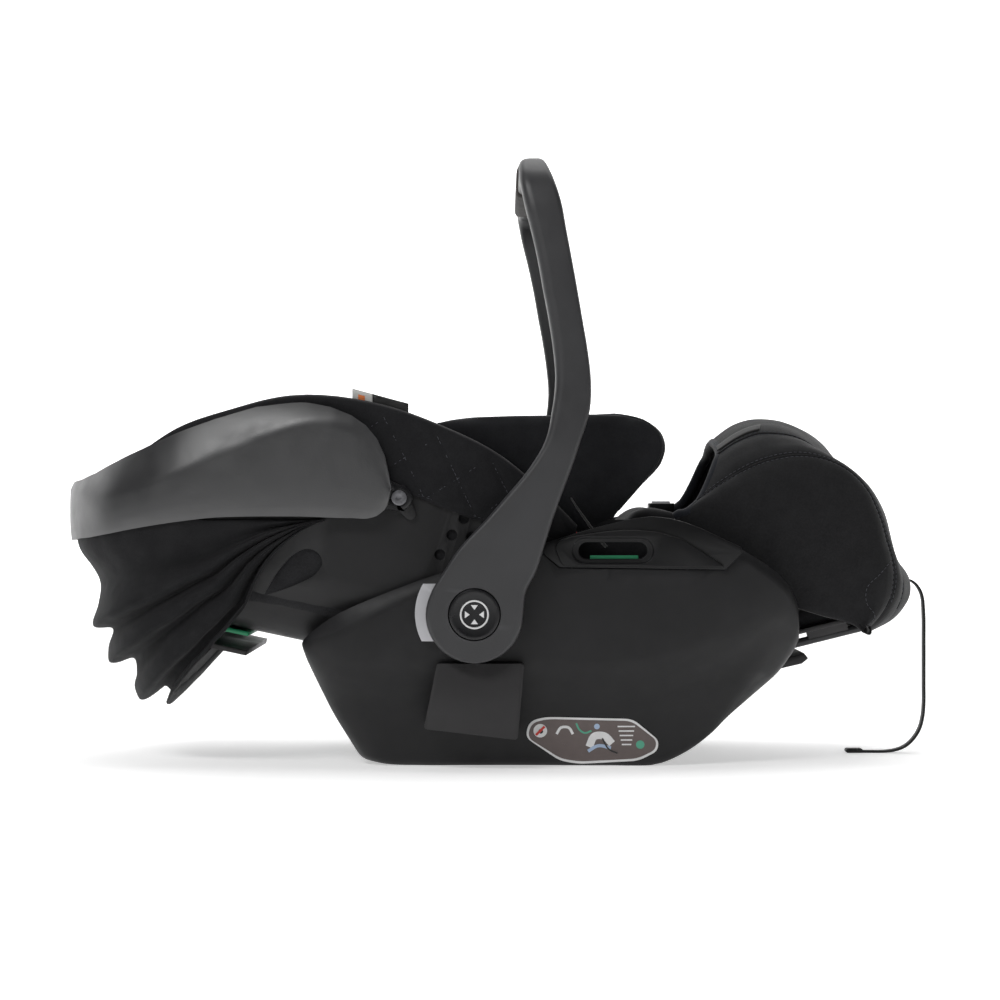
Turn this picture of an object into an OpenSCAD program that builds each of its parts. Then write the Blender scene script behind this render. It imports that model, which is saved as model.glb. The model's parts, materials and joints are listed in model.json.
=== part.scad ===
// Infant car seat in its lie-flat position: a boat-shaped base, a reclining backrest with a hood,
// a sliding leg rest with a padded boot, and a carrying handle that turns on the base.
// Frame: +X towards the feet, +Z up, Y across. The origin is on the floor under the middle.

/* [Base] */
// Half of the base shell's width
base_half = 190; // [186:1:194]
// Thickness of the moulded plastic walls
wall = 4; // [3:0.5:5]
// Length of the belt slot in each side
belt_slot_l = 62; // [56:1:68]
// Height of the belt slot
belt_slot_h = 15; // [12:1:18]
// Diameter of the steel bars that a car base grips
lock_bar_d = 12; // [10:0.5:14]

/* [Handle] */
// Height of the top of the grip above the floor
grip_top = 559; // [545:1:570]
// Half of the handle's width at its hubs
handle_half = 222; // [218:1:226]
// Radius of each round hub
hub_r = 43; // [40:1:46]
// Radius of each release button
button_r = 23.5; // [21:0.5:25]
// How far a release button can be pressed
button_travel = 5; // [3:0.5:6]
// Radius of the pivot pins
pin_r = 8; // [6:0.5:9]

/* [Backrest] */
// Half of the backrest shell's width
back_half = 172; // [170:1:174]
// Angle at which the backrest lies
lie_angle = 12; // [11.5:0.5:12.5]
// Thickness of the foam liner
liner = 15; // [12:1:18]
// How far the headrest slides
head_travel = 45; // [30:5:45]

/* [Hood] */
// Half of the visor's width
visor_half = 190; // [189:0.5:192]
// Thickness of the visor
visor_t = 3.5; // [3:0.5:4]

/* [Leg rest] */
// Diameter of the leg rest's steel rods
rod_d = 8; // [7:0.5:9]
// Half of the distance between the rods
rod_half = 95; // [90:1:98]
// Half of the boot's width
boot_half = 140; // [136:1:142]
// Width of the harness adjuster's webbing
strap_w = 15; // [12:1:18]

/* [Hidden] */
$fn = 48;
fit = 0.05;          // radial clearance of a pin that turns in a bore
gap = 0.5;           // gap between two bodies that move
seam = 0.3;          // gap along a panel's parting line
cover_t = 2.5;       // thickness of the rim's quilted cover
half_length = 405;   // from the origin to the visor's front and to the boot's toe
hub = [-13, 142];    // handle axis, X and Z
recline = [40, 150]; // backrest axis, X and Z
recline_r = 6;       // radius of the backrest's pins
hood = [-82, 247];   // hood axis, X and Z
lever = [252, 86];   // release lever's axis, X and Z
bar_x = [-60, 120];  // the lock bars' places along X
bar_z = lock_bar_d / 2 + 6;
rod_angle = 14;      // the leg rest's rods rise towards the feet
rod_at = [295, 112]; // a point on each rod's centreline
button_back = handle_half - 8; // the release buttons' inner faces
gear_out = button_back - 2.3;  // the lock gears' outer faces
gear_in = gear_out - 5.5;
gear_r = 16.5;       // outside radius of the lock gears
boss_r = 30;         // radius of the bosses that the handle turns on
adjuster_x = 154;    // rear and bottom of the harness adjuster
adjuster_z = 228;

// ---- Outlines: each point is [across, up, corner radius] ----
base_side = [
    [-121, 0, 16], [150, 0, 70], [222, 37, 80], [272, 88, 50], [290, 130, 26], [283, 162, 26],
    [240, 195, 60], [160, 233, 50], [100, 222, 60], [-40, 180, 60], [-95, 161, 60], [-150, 137, 30],
    [-174, 116, 12], [-152, 58, 80]
];
base_section = [
    [150, 0, 12], [160, 48, 14], [base_half, 88, 12], [base_half, 260, 0]
];
base_plan = [
    [290, 120, 40], [258, 164, 70], [160, base_half, 90], [-85, base_half, 50], [-134, 182, 24],
    [-174, 150, 20]
];
guide_outline = [[46, 198], [64, 183], [215, 181], [236, 200], [236, 260], [46, 260]];
back_side = [
    [-420, -36, 50], [-372, -82, 60], [20, -82, 50], [38, -10, 40], [22, 78, 50], [-57, 124, 60],
    [-118, 140, 60], [-172, 147, 60], [-256, 138, 60], [-340, 96, 60], [-395, 44, 40], [-420, 8, 30]
];
visor_side = [
    [-406, 206, 0], [-300, 223, 90], [-190, 232, 90], [-112, 227, 12], [-92, 232, 14], [-86, 268, 40],
    [-108, 318, 50], [-150, 340, 60], [-245, 322, 80], [-342, 284, 60], [-390, 258, 10], [-406, 256, 0]
];
boot_toe = [
    [363, 115, 14], [394, 131, 14], [half_length, 160, 14], [391, 192, 24], [379, 236, 40],
    [352, 274, 30], [324, 300, 30], [285, 326, 50]
];
boot_side = concat([[300, 137, 12]], boot_toe, [[240, 326, 24], [212, 290, 40], [166, 226, 16],
    [215, 165, 20]]);
bolster_side = [
    [80, 206, 10], [112, 214, 20], [158, 272, 50], [170, 302, 34], [132, 328, 40], [10, 328, 60],
    [-45, 322, 30], [-62, 300, 10]
];
cushion_side = [
    [84, 117, 14], [182, 117, 14], [182, 232, 10], [150, 240, 16], [132, 236, 14], [106, 170, 40]
];
// Left edge of the handle's arm from the hub upwards, then its right edge downwards
arm_left = [
    [-52, 160], [-43, 177], [-28, 200], [-3, 227], [16, 248], [35, 272], [50, 299], [57, 326],
    [60, 354], [58, 381], [54, 408], [49, 435], [44, 463], [38, 490], [31, 517], [27, 531], [24, 545]
];
arm_right = [
    [38, grip_top], [54, 549], [60, 531], [65, 517], [71, 490], [76, 463], [81, 435], [85, 408],
    [89, 381], [91, 354], [90, 326], [82, 299], [73, 272], [64, 247], [57, 227], [47, 200],
    [37, 177], [29, 155], [20, 120], [-40, 120]
];
crossbar = [[60, 532, 1], [54, 549, 1], [38, grip_top, 1], [24, 545, 1], [27, 532, 1]];

// The adjuster strap's route in the middle plane: out of the boot's toe, down, and back along the floor
strap_route = [
    [403, 168], [408, 167], [413, 163.5], [417, 158], [419.5, 151], [420.5, 141], [421, 128], [421, 112],
    [421, 96], [421, 80], [421, 64], [421, 48], [420, 36], [417, 24], [411, 14], [402, 6],
    [391, 2.2], [380, 1.2], [369, 1.2], [360, 1.2]
];
strap_t = 2;

// ---- Helpers ----
function unit(v) = v / norm(v);
function flat(p) = [p[0], p[1]];
function left_of(v) = [-v.y, v.x] / norm(v);

// The arc that rounds corner b between its neighbours a and c
function corner(a, b, c, r, n) =
    let (u = unit(a - b), v = unit(c - b), half = acos(u * v) / 2)
    r == 0 || half > 89.5 ? [b] :
    let (
        d = min(r / tan(half), 0.49 * min(norm(a - b), norm(c - b))),
        centre = b + unit(u + v) * d / cos(half),
        from = b + u * d - centre,
        to = b + v * d - centre,
        turn = (180 - 2 * half) * sign(cross(from, to))
    )
    [for (i = [0:n]) let (t = turn * i / n)
        centre + [from.x * cos(t) - from.y * sin(t), from.x * sin(t) + from.y * cos(t)]];

function neighbours(p, i) = [flat(p[(i + len(p) - 1) % len(p)]), flat(p[i]), flat(p[(i + 1) % len(p)])];
function rounded(p, n = 4) =
    [for (i = [0:len(p) - 1]) let (s = neighbours(p, i)) each corner(s[0], s[1], s[2], p[i][2], n)];

// An anticlockwise outline moved inwards by d, with its corner radii kept in step
function inset(p, d) =
    [for (i = [0:len(p) - 1])
        let (s = neighbours(p, i), m = left_of(s[1] - s[0]), n = left_of(s[2] - s[1]),
             q = s[1] + d * (m + n) / (1 + m * n))
        [q.x, q.y, p[i][2] == 0 ? 0 : max(p[i][2] - d, 1)]];

// Half an outline at positive Y, joined to its mirror image
function mirrored(half) =
    concat(half, [for (i = [len(half) - 1:-1:0]) [-half[i][0], half[i][1], half[i][2]]]);
function mirrored_y(half) =
    concat([for (p = half) [p[0], p[1], p[2]]],
           [for (i = [len(half) - 1:-1:0]) [half[i][0], -half[i][1], half[i][2]]]);

// An XZ outline drawn out along Y, from y0 to y1
module across(points, y0, y1) {
    translate([0, y1, 0]) rotate([90, 0, 0]) linear_extrude(y1 - y0) polygon(points);
}
// A YZ outline drawn out along X, from x0 to x1
module along(points, x0, x1) {
    translate([x0, 0, 0]) rotate([90, 0, 90]) linear_extrude(x1 - x0) polygon(points);
}
// An XY outline drawn up along Z, from z0 to z1
module upward(points, z0, z1) {
    translate([0, 0, z0]) linear_extrude(z1 - z0) polygon(points);
}
module both_sides() {
    children();
    mirror([0, 1, 0]) children();
}
// A cylinder along Y, centred on [x, z], from y0 to y1
module cross_cylinder(at, r, y0, y1) {
    translate([at[0], y1, at[1]]) rotate([90, 0, 0]) cylinder(r = r, h = y1 - y0);
}
// The lying backrest's own frame: its x runs along the back, its z out of it
module on_back() {
    translate([recline[0], 0, recline[1]]) rotate([0, lie_angle, 0]) children();
}
// The leg rest's own frame: its x runs out along the rods
module on_rods() {
    translate([rod_at[0], 0, rod_at[1]]) rotate([0, -rod_angle, 0]) children();
}

// ---- Base ----
module base_envelope(d) {
    intersection() {
        across(rounded(inset(base_side, d)), -200, 200);
        along(rounded(inset(mirrored(base_section), d)), -300, 300);
        upward(rounded(inset(mirrored_y(base_plan), d)), -10, 300);
    }
}
// The base's hollow: its top is open, and both ends are cut down for the backrest and the leg rest
module base_hollow() {
    inside = rounded(inset([
        [-121, 0, 16], [150, 0, 70], [222, 37, 80], [272, 88, 50], [290, 130, 26],
        [290, 400, 0], [-174, 400, 0], [-174, 116, 12], [-152, 58, 80]
    ], wall));
    intersection() {
        across(inside, -200, 200);
        along(rounded(inset(mirrored(concat([for (i = [0:2]) base_section[i]],
            [[base_half, 400, 0]])), wall)), -300, 300);
        upward(rounded(inset(mirrored_y(base_plan), wall)), -10, 400);
    }
    across([[230, 100], [310, 100], [310, 300], [230, 300]], -150, 150);
}
module base_shell() {
    color([0.10, 0.10, 0.11]) difference() {
        base_envelope(0);
        base_hollow();
        on_back() back_envelope(-3);
        both_sides() across(guide_outline, base_half - 60, base_half + 10);
        both_sides() {
            cross_cylinder(hub, pin_r, base_half - 12, base_half + 2);
            cross_cylinder(hub, pin_r + 4, base_half - 12, base_half - wall);
            cross_cylinder(recline, recline_r, base_half - 12, base_half - 2);
            cross_cylinder(recline, recline_r + 3, base_half - 12, base_half - wall);
        }
        across([[240, 74], [310, 74], [310, 101], [240, 101]], -54, 54);
        for (x = bar_x) cross_cylinder([x, bar_z], lock_bar_d / 2, -150, 150);
        for (x = bar_x) upward([[x - 26, -50], [x + 26, -50], [x + 26, 50], [x - 26, 50]], -1, 5);
        feet(-1);
    }
}
module seat_pan() {
    color([0.16, 0.16, 0.17]) difference() {
        across([[84, 100], [184, 100], [184, 116], [84, 116]], -120, 120);
        across([[88, 104], [180, 104], [180, 117], [88, 117]], -116, 116);
    }
}
module base_foam() {
    color([0.75, 0.75, 0.76]) across([[70, 30], [166, 30], [166, 99], [86, 99]], -80, 80);
}
module seat_cushion() {
    color([0.05, 0.05, 0.06]) difference() {
        across(rounded(cushion_side), -112, 112);
        translate([adjuster_x, -22, adjuster_z]) cube([24, 44, 30]);
    }
}
// Padded wing beside the hips, with a flap that hangs inside the base and hooks on its wall
module hip_bolster() {
    color([0.05, 0.05, 0.06]) {
        across(rounded(bolster_side), -150, -122);
        intersection() {
            across([[124, 212], [164, 214], [160, 228], [126, 228]], -base_half, -150);
            base_hollow();
        }
        across([[60, 160], [168, 160], [160, 228], [108, 228], [76, 214]], -151.5, -boot_half - 1.5);
    }
}
module hip_bolster_left() { hip_bolster(); }
module hip_bolster_right() { mirror([0, 1, 0]) hip_bolster(); }

// A lens-shaped panel let into the top of each side, with the slot that the car's belt goes through
module belt_guide() {
    slot_r = belt_slot_h / 2;
    color([0.13, 0.13, 0.14]) difference() {
        intersection() {
            difference() {
                base_envelope(0);
                base_hollow();
            }
            across(rounded(inset([for (p = guide_outline) [p.x, p.y, 0]], seam)), -base_half - 5, -120);
        }
        hull() for (s = [-1, 1])
            cross_cylinder([112 + s * (belt_slot_l / 2 - slot_r), 199], slot_r, -200, -100);
    }
}
module belt_guide_left() { belt_guide(); }
module belt_guide_right() { mirror([0, 1, 0]) belt_guide(); }
module belt_markers() {
    color([0.10, 0.55, 0.35]) both_sides()
        translate([92, base_half - 5 - wall, 187.5]) cube([44, 4.5, 7]);
}

// Housing under each hub, open below: a pushchair's adapter slides up into it
module adapter_socket() {
    color([0.12, 0.12, 0.13]) difference() {
        across(rounded([[-59, 38, 3], [26, 28, 3], [32, 97, 3], [-47, 97, 3]]), -206, -155);
        base_envelope(-0.01);
        across([[-40, 20], [6, 20], [6, 82], [-40, 82]], -202, -186);
    }
}
module adapter_socket_left() { adapter_socket(); }
module adapter_socket_right() { mirror([0, 1, 0]) adapter_socket(); }

// Pale ring behind each hub: the handle turns on its boss, and its pocket holds the button's spring
module pivot_collar() {
    color([0.55, 0.56, 0.58]) difference() {
        union() {
            intersection() {
                cross_cylinder(hub, 54, -200, -base_half);
                across([[-80, 117], [20, 117], [20, 169], [-80, 169]], -201, -189);
            }
            cross_cylinder(hub, boss_r, -205, -195);
        }
        cross_cylinder(hub, gear_r + 6, -206, -193);
        cross_cylinder(hub, pin_r, -202, -188);
    }
}
module pivot_collar_left() { pivot_collar(); }
module pivot_collar_right() { mirror([0, 1, 0]) pivot_collar(); }
module pivot_pins() {
    color("silver") both_sides() {
        cross_cylinder(hub, pin_r, -200, -182);
        cross_cylinder(hub, pin_r + 4, -base_half + wall, -181.5);
    }
}
module recline_pins() {
    color("silver") both_sides() {
        cross_cylinder(recline, recline_r, -base_half + 2, -163);
        cross_cylinder(recline, recline_r + 3, -base_half + wall, -176);
    }
}
module leg_rest_guides() {
    color([0.16, 0.16, 0.17]) for (s = [-1, 1]) difference() {
        union() {
            on_rods() translate([-110, s * rod_half, 0]) rotate([0, 90, 0])
                cylinder(r = rod_d / 2 + 4, h = 76);
            intersection() {
                base_hollow();
                across([[196, 10], [258, 50], [258, 98], [196, 84]], -200, 200);
                translate([0, s * rod_half - 8, 0]) cube([300, 16, 120]);
            }
        }
        on_rods() translate([-111, s * rod_half, 0]) rotate([0, 90, 0])
            cylinder(r = rod_d / 2 + fit, h = 78);
        cross_cylinder(lever, 3, -rod_half, rod_half);
    }
}
module lock_bars() {
    color("silver") for (x = bar_x) cross_cylinder([x, bar_z], lock_bar_d / 2, -150, 150);
}
// Four pads let into the underside, from z0 up to 2 mm
module feet(z0) {
    for (x = [-98, 62], s = [-1, 1])
        upward(rounded([[x, s * 118 - 8, 3], [x + 30, s * 118 - 8, 3], [x + 30, s * 118 + 8, 3],
            [x, s * 118 + 8, 3]]), z0, 2);
}
module base_feet() {
    color([0.06, 0.06, 0.06]) feet(0);
}
module info_labels() {
    color([0.75, 0.72, 0.72]) both_sides() difference() {
        intersection() {
            across(rounded([[70, 5, 6], [146, 7, 6], [158, 22, 8], [134, 45, 10], [40, 44, 8],
                [36, 26, 6]]), -175, -140);
            base_envelope(-0.8);
        }
        base_envelope(0);
    }
}
module cover_elastics() {
    color([0.03, 0.03, 0.03]) both_sides()
        across([[97, 205], [101, 205], [84, 232], [80, 232]], -181.5, -180);
}
// The buckle's own frame: its x runs down its face, its z out of it
module on_buckle() {
    translate([78, 0, 206]) rotate([0, 50, 0]) children();
}
module buckle_block() {
    on_buckle() upward(rounded([[-26, -22, 8], [26, -26, 6], [26, 26, 6], [-26, 22, 8]]), -8, 8);
}
module crotch_strap() {
    color([0.05, 0.05, 0.05]) difference() {
        across([[101, 178], [102.5, 176.5], [94, 190], [92, 190]], -15, 15);
        buckle_block();
    }
}
module buckle_housing() {
    color([0.08, 0.08, 0.08]) difference() {
        buckle_block();
        on_buckle() translate([-12, -12, 2]) cube([24, 24, 8]);
    }
}
module buckle_button() {
    color([0.75, 0.05, 0.05]) on_buckle() translate([-11.5, -11.5, 5]) cube([23, 23, 5]);
}
module adjuster_housing() {
    color([0.12, 0.12, 0.12]) difference() {
        translate([adjuster_x, -22, adjuster_z]) cube([24, 44, 14]);
        translate([adjuster_x + 3, -12, adjuster_z + 4]) cube([18, 24, 12]);
    }
}
module adjuster_button() {
    color([0.55, 0.56, 0.58]) translate([adjuster_x + 3.5, -11.5, adjuster_z + 8])
        cube([17, 23, 8]);
}
// Lever under the front end that frees the seat from a car base
module release_lever() {
    color([0.09, 0.09, 0.10]) difference() {
        union() {
            across([[250, 81], [268, 82], [298, 89], [304, 94], [300, 99], [290, 96], [266, 91], [250, 91]],
                -52, 52);
            cross_cylinder(lever, 7, -52, 52);
        }
        cross_cylinder(lever, 3 + fit, -60, 60);
    }
}
module release_pivot() {
    color("silver") cross_cylinder(lever, 3, -rod_half, rod_half);
}

// ---- Handle ----
arm_outline = concat(arm_right, arm_left);
module handle_arch(outer, inner_top) {
    difference() {
        along(rounded(mirrored([[outer, 95, 0], [outer, 300, 90], [outer - 18, grip_top, 60]])), -80, 110);
        along(rounded(mirrored([[outer - 21.5, 80, 0], [outer - 22, 330, 90],
            [outer - 38, inner_top, 44]])), -81, 111);
    }
}
module handle_frame() {
    color([0.13, 0.13, 0.14]) difference() {
        union() {
            intersection() {
                across(arm_outline, -handle_half - 2, handle_half + 2);
                handle_arch(handle_half, grip_top - 27);
            }
            both_sides() cross_cylinder(hub, hub_r, -handle_half, -200 - gap);
        }
        both_sides() cross_cylinder(hub, button_r + 0.3, -handle_half - 3, 0.2 + button_travel - button_back);
        both_sides() cross_cylinder(hub, gear_r + 1, -button_back, -205);
        both_sides() cross_cylinder(hub, boss_r + fit, -205.5, -199);
    }
}
module handle_grip() {
    color([0.09, 0.09, 0.09]) difference() {
        across(rounded(inset(crossbar, -2.5)), -105, 105);
        intersection() {
            across(arm_outline, -110, 110);
            handle_arch(handle_half, grip_top - 27);
        }
    }
}
module handle_button() {
    color([0.05, 0.05, 0.06]) {
        cross_cylinder(hub, button_r, -handle_half - 2, -button_back);
        cross_cylinder(hub, 6, -button_back - 1, -gear_out);
    }
}
module handle_button_left() { handle_button(); }
module handle_button_right() { mirror([0, 1, 0]) handle_button(); }
module lock_gear() {
    color("silver") {
        cross_cylinder(hub, gear_r - 3, -gear_out, -gear_in);
        for (a = [0:30:330]) translate([hub[0], -gear_out, hub[1]]) rotate([0, a, 0])
            translate([gear_r - 4, 0, -2]) cube([4, gear_out - gear_in, 4]);
    }
}
module lock_gear_left() { lock_gear(); }
module lock_gear_right() { mirror([0, 1, 0]) lock_gear(); }
// Spring behind each button, drawn at its pressed length
module button_springs() {
    color("silver") both_sides() for (i = [0:2])
        translate([hub[0], button_travel + 1.3 - gear_in + i * 2.8, hub[1]]) rotate([90, 0, 0])
            rotate_extrude() translate([pin_r + 3, 0]) circle(r = 1.2, $fn = 16);
}

// ---- Backrest, in its own frame until it is laid down ----
back_plan = [[60, back_half, 0], [-330, back_half, 110], [-420, 92, 80]];
back_section = [[132, -82, 14], [back_half, -48, 30], [back_half, 160, 0]];
module back_envelope(d) {
    intersection() {
        across(rounded(inset(back_side, d)), -200, 200);
        along(rounded(inset(mirrored(back_section), d)), -450, 80);
        upward(rounded(inset(mirrored_y(back_plan), d)), -100, 160);
    }
}
// The space inside the backrest at a depth d from its outside; its top and its foot end are open
module back_hollow(d) {
    intersection() {
        across(rounded(inset([[-420, -36, 50], [-372, -82, 60], [80, -82, 0], [80, 300, 0],
            [-420, 300, 0]], d)), -200, 200);
        along(rounded(inset(mirrored([[132, -82, 14], [back_half, -48, 30], [back_half, 300, 0]]), d)),
            -450, 90);
        upward(rounded(inset(mirrored_y([[100, back_half, 0], [-330, back_half, 110],
            [-420, 92, 80]]), d)), -100, 310);
    }
}
side_slot = [[-206, 158, 6], [-180, 163, 10], [-156, 180, 8], [-152, 191, 6], [-168, 201, 8],
    [-188, 186, 12]];
module backrest_shell() {
    color([0.08, 0.08, 0.09]) difference() {
        on_back() back_envelope(0);
        on_back() back_hollow(wall);
        both_sides() across(rounded(side_slot), 160, 180);
        for (hole = [[-23, 228], [-34, 213], [-16, 211], [-45, 195]])
            cross_cylinder(hole, 5, -180, 180);
        cross_cylinder(recline, recline_r + fit, -180, 180);
    }
}
module backrest_liner() {
    color([0.12, 0.12, 0.13]) difference() {
        on_back() intersection() {
            back_envelope(0);
            back_hollow(wall);
        }
        on_back() back_hollow(wall + liner);
        on_back() headrest_path();
        cross_cylinder(recline, recline_r + 4, -180, 180);
    }
}
module back_pad() {
    color([0.05, 0.05, 0.06]) on_back()
        upward(rounded([[-146, -108, 20], [18, -108, 20], [18, 108, 20], [-146, 108, 20]]),
            wall + liner - 82, wall + liner - 60);
}
// Quilted fabric turned over the backrest's rim
module rim_cover() {
    color([0.06, 0.06, 0.06]) difference() {
        on_back() intersection() {
            back_envelope(-cover_t);
            across([[-440, -45], [-395, -10], [-340, 42], [-255, 80], [-145, 77], [-53, 63], [30, 55],
                [60, 300], [-440, 300]], -200, 200);
        }
        on_back() back_envelope(0);
        on_back() back_hollow(wall + liner);
        cross_cylinder(hood, 14, -200, 200);
    }
}
// Hook under the head end that a car's shoulder belt runs through, and its marker
module rear_belt_guide() {
    color([0.08, 0.08, 0.09]) on_back()
        across([[-304, -104], [-250, -104], [-250, -99], [-290, -99], [-290, -82], [-304, -82]],
            -125, 125);
}
module rear_belt_marker() {
    color([0.10, 0.55, 0.35]) on_back() across([[-289, -86], [-252, -86], [-252, -82], [-289, -82]],
        -124, 124);
}
module harness_yoke() {
    color("silver") on_back() difference() {
        translate([-130, -40, -85]) cube([30, 80, 3]);
        for (y = [-33, 5]) translate([-123, y, -86]) cube([5, 28, 5]);
        translate([-109, -11, -86]) cube([5, 22, 5]);
    }
}
module shoulder_strap(s) {
    color([0.04, 0.04, 0.04]) on_back() {
        translate([-144, s * 38 - 16, wall + liner - 60]) cube([126, 32, 9]);
        translate([-19, s * 38 - 11, wall + liner - 58]) cube([30, 22, 3]);
    }
}
module shoulder_strap_left() { shoulder_strap(-1); }
module shoulder_strap_right() { shoulder_strap(1); }
module care_tag() {
    color([0.85, 0.85, 0.85]) difference() {
        across([[-122, 335], [-76, 323], [-74, 328], [-124, 346]], -164, -163);
        on_back() back_envelope(-cover_t);
    }
}
module hood_brackets() {
    color([0.05, 0.05, 0.05]) both_sides() {
        hull() {
            cross_cylinder(hood, 9, -176.5, -back_half);
            cross_cylinder(hood + [10, -15], 5, -176.5, -back_half);
        }
        cross_cylinder(hood, 5, -181.5, -176);
    }
}
module hood_screws() {
    color("silver") both_sides() difference() {
        cross_cylinder(hood, 7, -184, -181.5);
        cross_cylinder(hood, 2.5, -185, -183);
    }
}

// ---- Headrest: lowest on the backrest, it slides up towards the head end ----
head_floor = wall + liner - 82 + gap;
head_x = -171;
module head_outline(d, z0, z1) {
    upward(rounded(inset([[head_x - 146, -92, 26], [head_x, -92, 12], [head_x, 92, 12],
        [head_x - 146, 92, 26]], d)), z0, z1);
}
// The wings stand up at both sides and slope down to the shoulders
module head_wings(z_top) {
    across([[head_x - 149, -90], [head_x + 6, -90], [head_x + 6, -30], [head_x - 34, z_top],
        [head_x - 124, z_top], [head_x - 149, -12]], -100, 100);
}
// The space that the headrest needs over its travel
module headrest_path() {
    hull() for (x = [0, -head_travel - gap]) translate([x - 10, 0, 0])
        head_outline(-1, head_floor - 2 * gap, 100);
}
module headrest_shell() {
    color([0.14, 0.14, 0.15]) on_back() intersection() {
        head_wings(28);
        difference() {
            head_outline(0, head_floor, 100);
            translate([head_x - 170, -88, head_floor + 4]) cube([190, 176, 100]);
        }
    }
}
module headrest_pad() {
    color([0.05, 0.05, 0.06]) on_back() intersection() {
        head_wings(22);
        difference() {
            head_outline(4, head_floor + 4, 100);
            translate([head_x - 170, -70, head_floor + 22]) cube([190, 140, 100]);
        }
    }
}
module headrest_grip() {
    color([0.30, 0.31, 0.32]) on_back() difference() {
        translate([head_x - 155.5, -34, head_floor]) cube([9.5, 68, 26]);
        translate([head_x - 157, -26, head_floor + 8]) cube([12, 52, 12]);
    }
}

// ---- Hood ----
visor_plan = [[-60, visor_half, 0], [-325, visor_half, 105], [-half_length, 98, 92]];
module visor_outer(d) {
    upward(rounded(inset(mirrored_y(visor_plan), d), 8), 0, 400);
}
module visor() {
    color([0.22, 0.22, 0.23]) difference() {
        intersection() {
            across(rounded(visor_side), -200, 200);
            visor_outer(0);
        }
        difference() {
            visor_outer(visor_t);
            translate([-61, -200, 0]) cube([2, 400, 400]);
        }
    }
}
module hood_arms() {
    color([0.10, 0.10, 0.11]) both_sides() difference() {
        union() {
            cross_cylinder(hood, 12, -181, -177);
            across([[-82, 235], [-82, 259], [-150, 292], [-150, 244]], -181, -177);
            across([[-112, 250], [-112, 272], [-150, 290], [-150, 246]], -visor_half + visor_t, -180.5);
        }
        cross_cylinder(hood, 5 + fit, -190, -170);
    }
}
// The folded hood hangs below the visor, around the head end
fabric_side = [
    [-234, 108, 8], [-226, 150, 30], [-300, 212, 60], [-392, 198, 10], [-376, 172, 20], [-374, 150, 20],
    [-380, 128, 10], [-360, 104, 16], [-345, 92, 16], [-336, 66, 14], [-316, 60, 14], [-285, 84, 20]
];
module hood_fabric() {
    color([0.13, 0.13, 0.14]) difference() {
        intersection() {
            across([for (i = [len(fabric_side) - 1:-1:0]) flat(fabric_side[i])], -200, 200);
            visor_outer(visor_t + 5);
        }
        on_back() back_envelope(-4);
        across([[-345, 0], [-200, 0], [-200, 240], [-345, 240]], -132, 132);
    }
}

// ---- Leg rest, in its own frame until it is tilted ----
module leg_rest_frame() {
    color([0.55, 0.56, 0.58]) on_rods() {
        for (s = [-1, 1]) translate([-105, s * rod_half, 0]) rotate([0, 90, 0])
            cylinder(d = rod_d, h = 160);
        translate([50, rod_half, 0]) rotate([90, 0, 0]) cylinder(d = rod_d - 1, h = 2 * rod_half);
    }
}
module leg_rest_panel() {
    color([0.14, 0.14, 0.15]) on_rods() difference() {
        union() {
            upward(rounded([[-90, -118, 12], [50, -118, 16], [50, 118, 16], [-90, 118, 12]]), 9, 13);
            for (s = [-1, 1]) translate([5, s * rod_half - 6, 1]) cube([38, 12, 9]);
        }
        for (s = [-1, 1]) translate([-110, s * rod_half, 0]) rotate([0, 90, 0])
            cylinder(r = rod_d / 2 + fit, h = 170);
    }
}
module leg_rest_pad() {
    color([0.05, 0.05, 0.06]) on_rods()
        upward(rounded([[-60, -112, 20], [48, -112, 20], [48, 112, 20], [-60, 112, 20]]), 13, 30);
}
module boot_envelope(d) {
    intersection() {
        across(rounded(inset(boot_side, d)), -200, 200);
        along(rounded(inset(mirrored([[boot_half, 60, 0], [boot_half, 262, 40], [104, 308, 50],
            [30, 327, 60]]), d)), 100, 450);
        upward(rounded(inset(mirrored_y([[half_length, 62, 50], [345, boot_half, 60],
            [120, boot_half, 0]]), d)), 0, 400);
    }
}
// Padded cover for the feet: open towards the seat and over the leg rest
module foot_boot() {
    pad = 9;
    color([0.07, 0.07, 0.08]) difference() {
        boot_envelope(0);
        intersection() {
            across(rounded(inset(concat([[120, 50, 0], [352, 50, 0]], boot_toe,
                [[240, 326, 0], [120, 326, 0]]), pad)), -200, 200);
            along(rounded(inset(mirrored([[boot_half, 40, 0], [boot_half, 262, 40], [104, 308, 50],
                [30, 327, 60]]), pad)), 100, 450);
            upward(rounded(inset(mirrored_y([[half_length, 62, 50], [345, boot_half, 60],
                [100, boot_half, 0]]), pad)), 0, 400);
        }
    }
}
module closure_tape() {
    color([0.12, 0.12, 0.13]) difference() {
        intersection() {
            boot_envelope(-1.5);
            across([[222, 286], [268, 303], [266, 313], [219, 296]], -140, 140);
        }
        boot_envelope(0);
        cube([800, 120, 800], center = true);
    }
}

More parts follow.
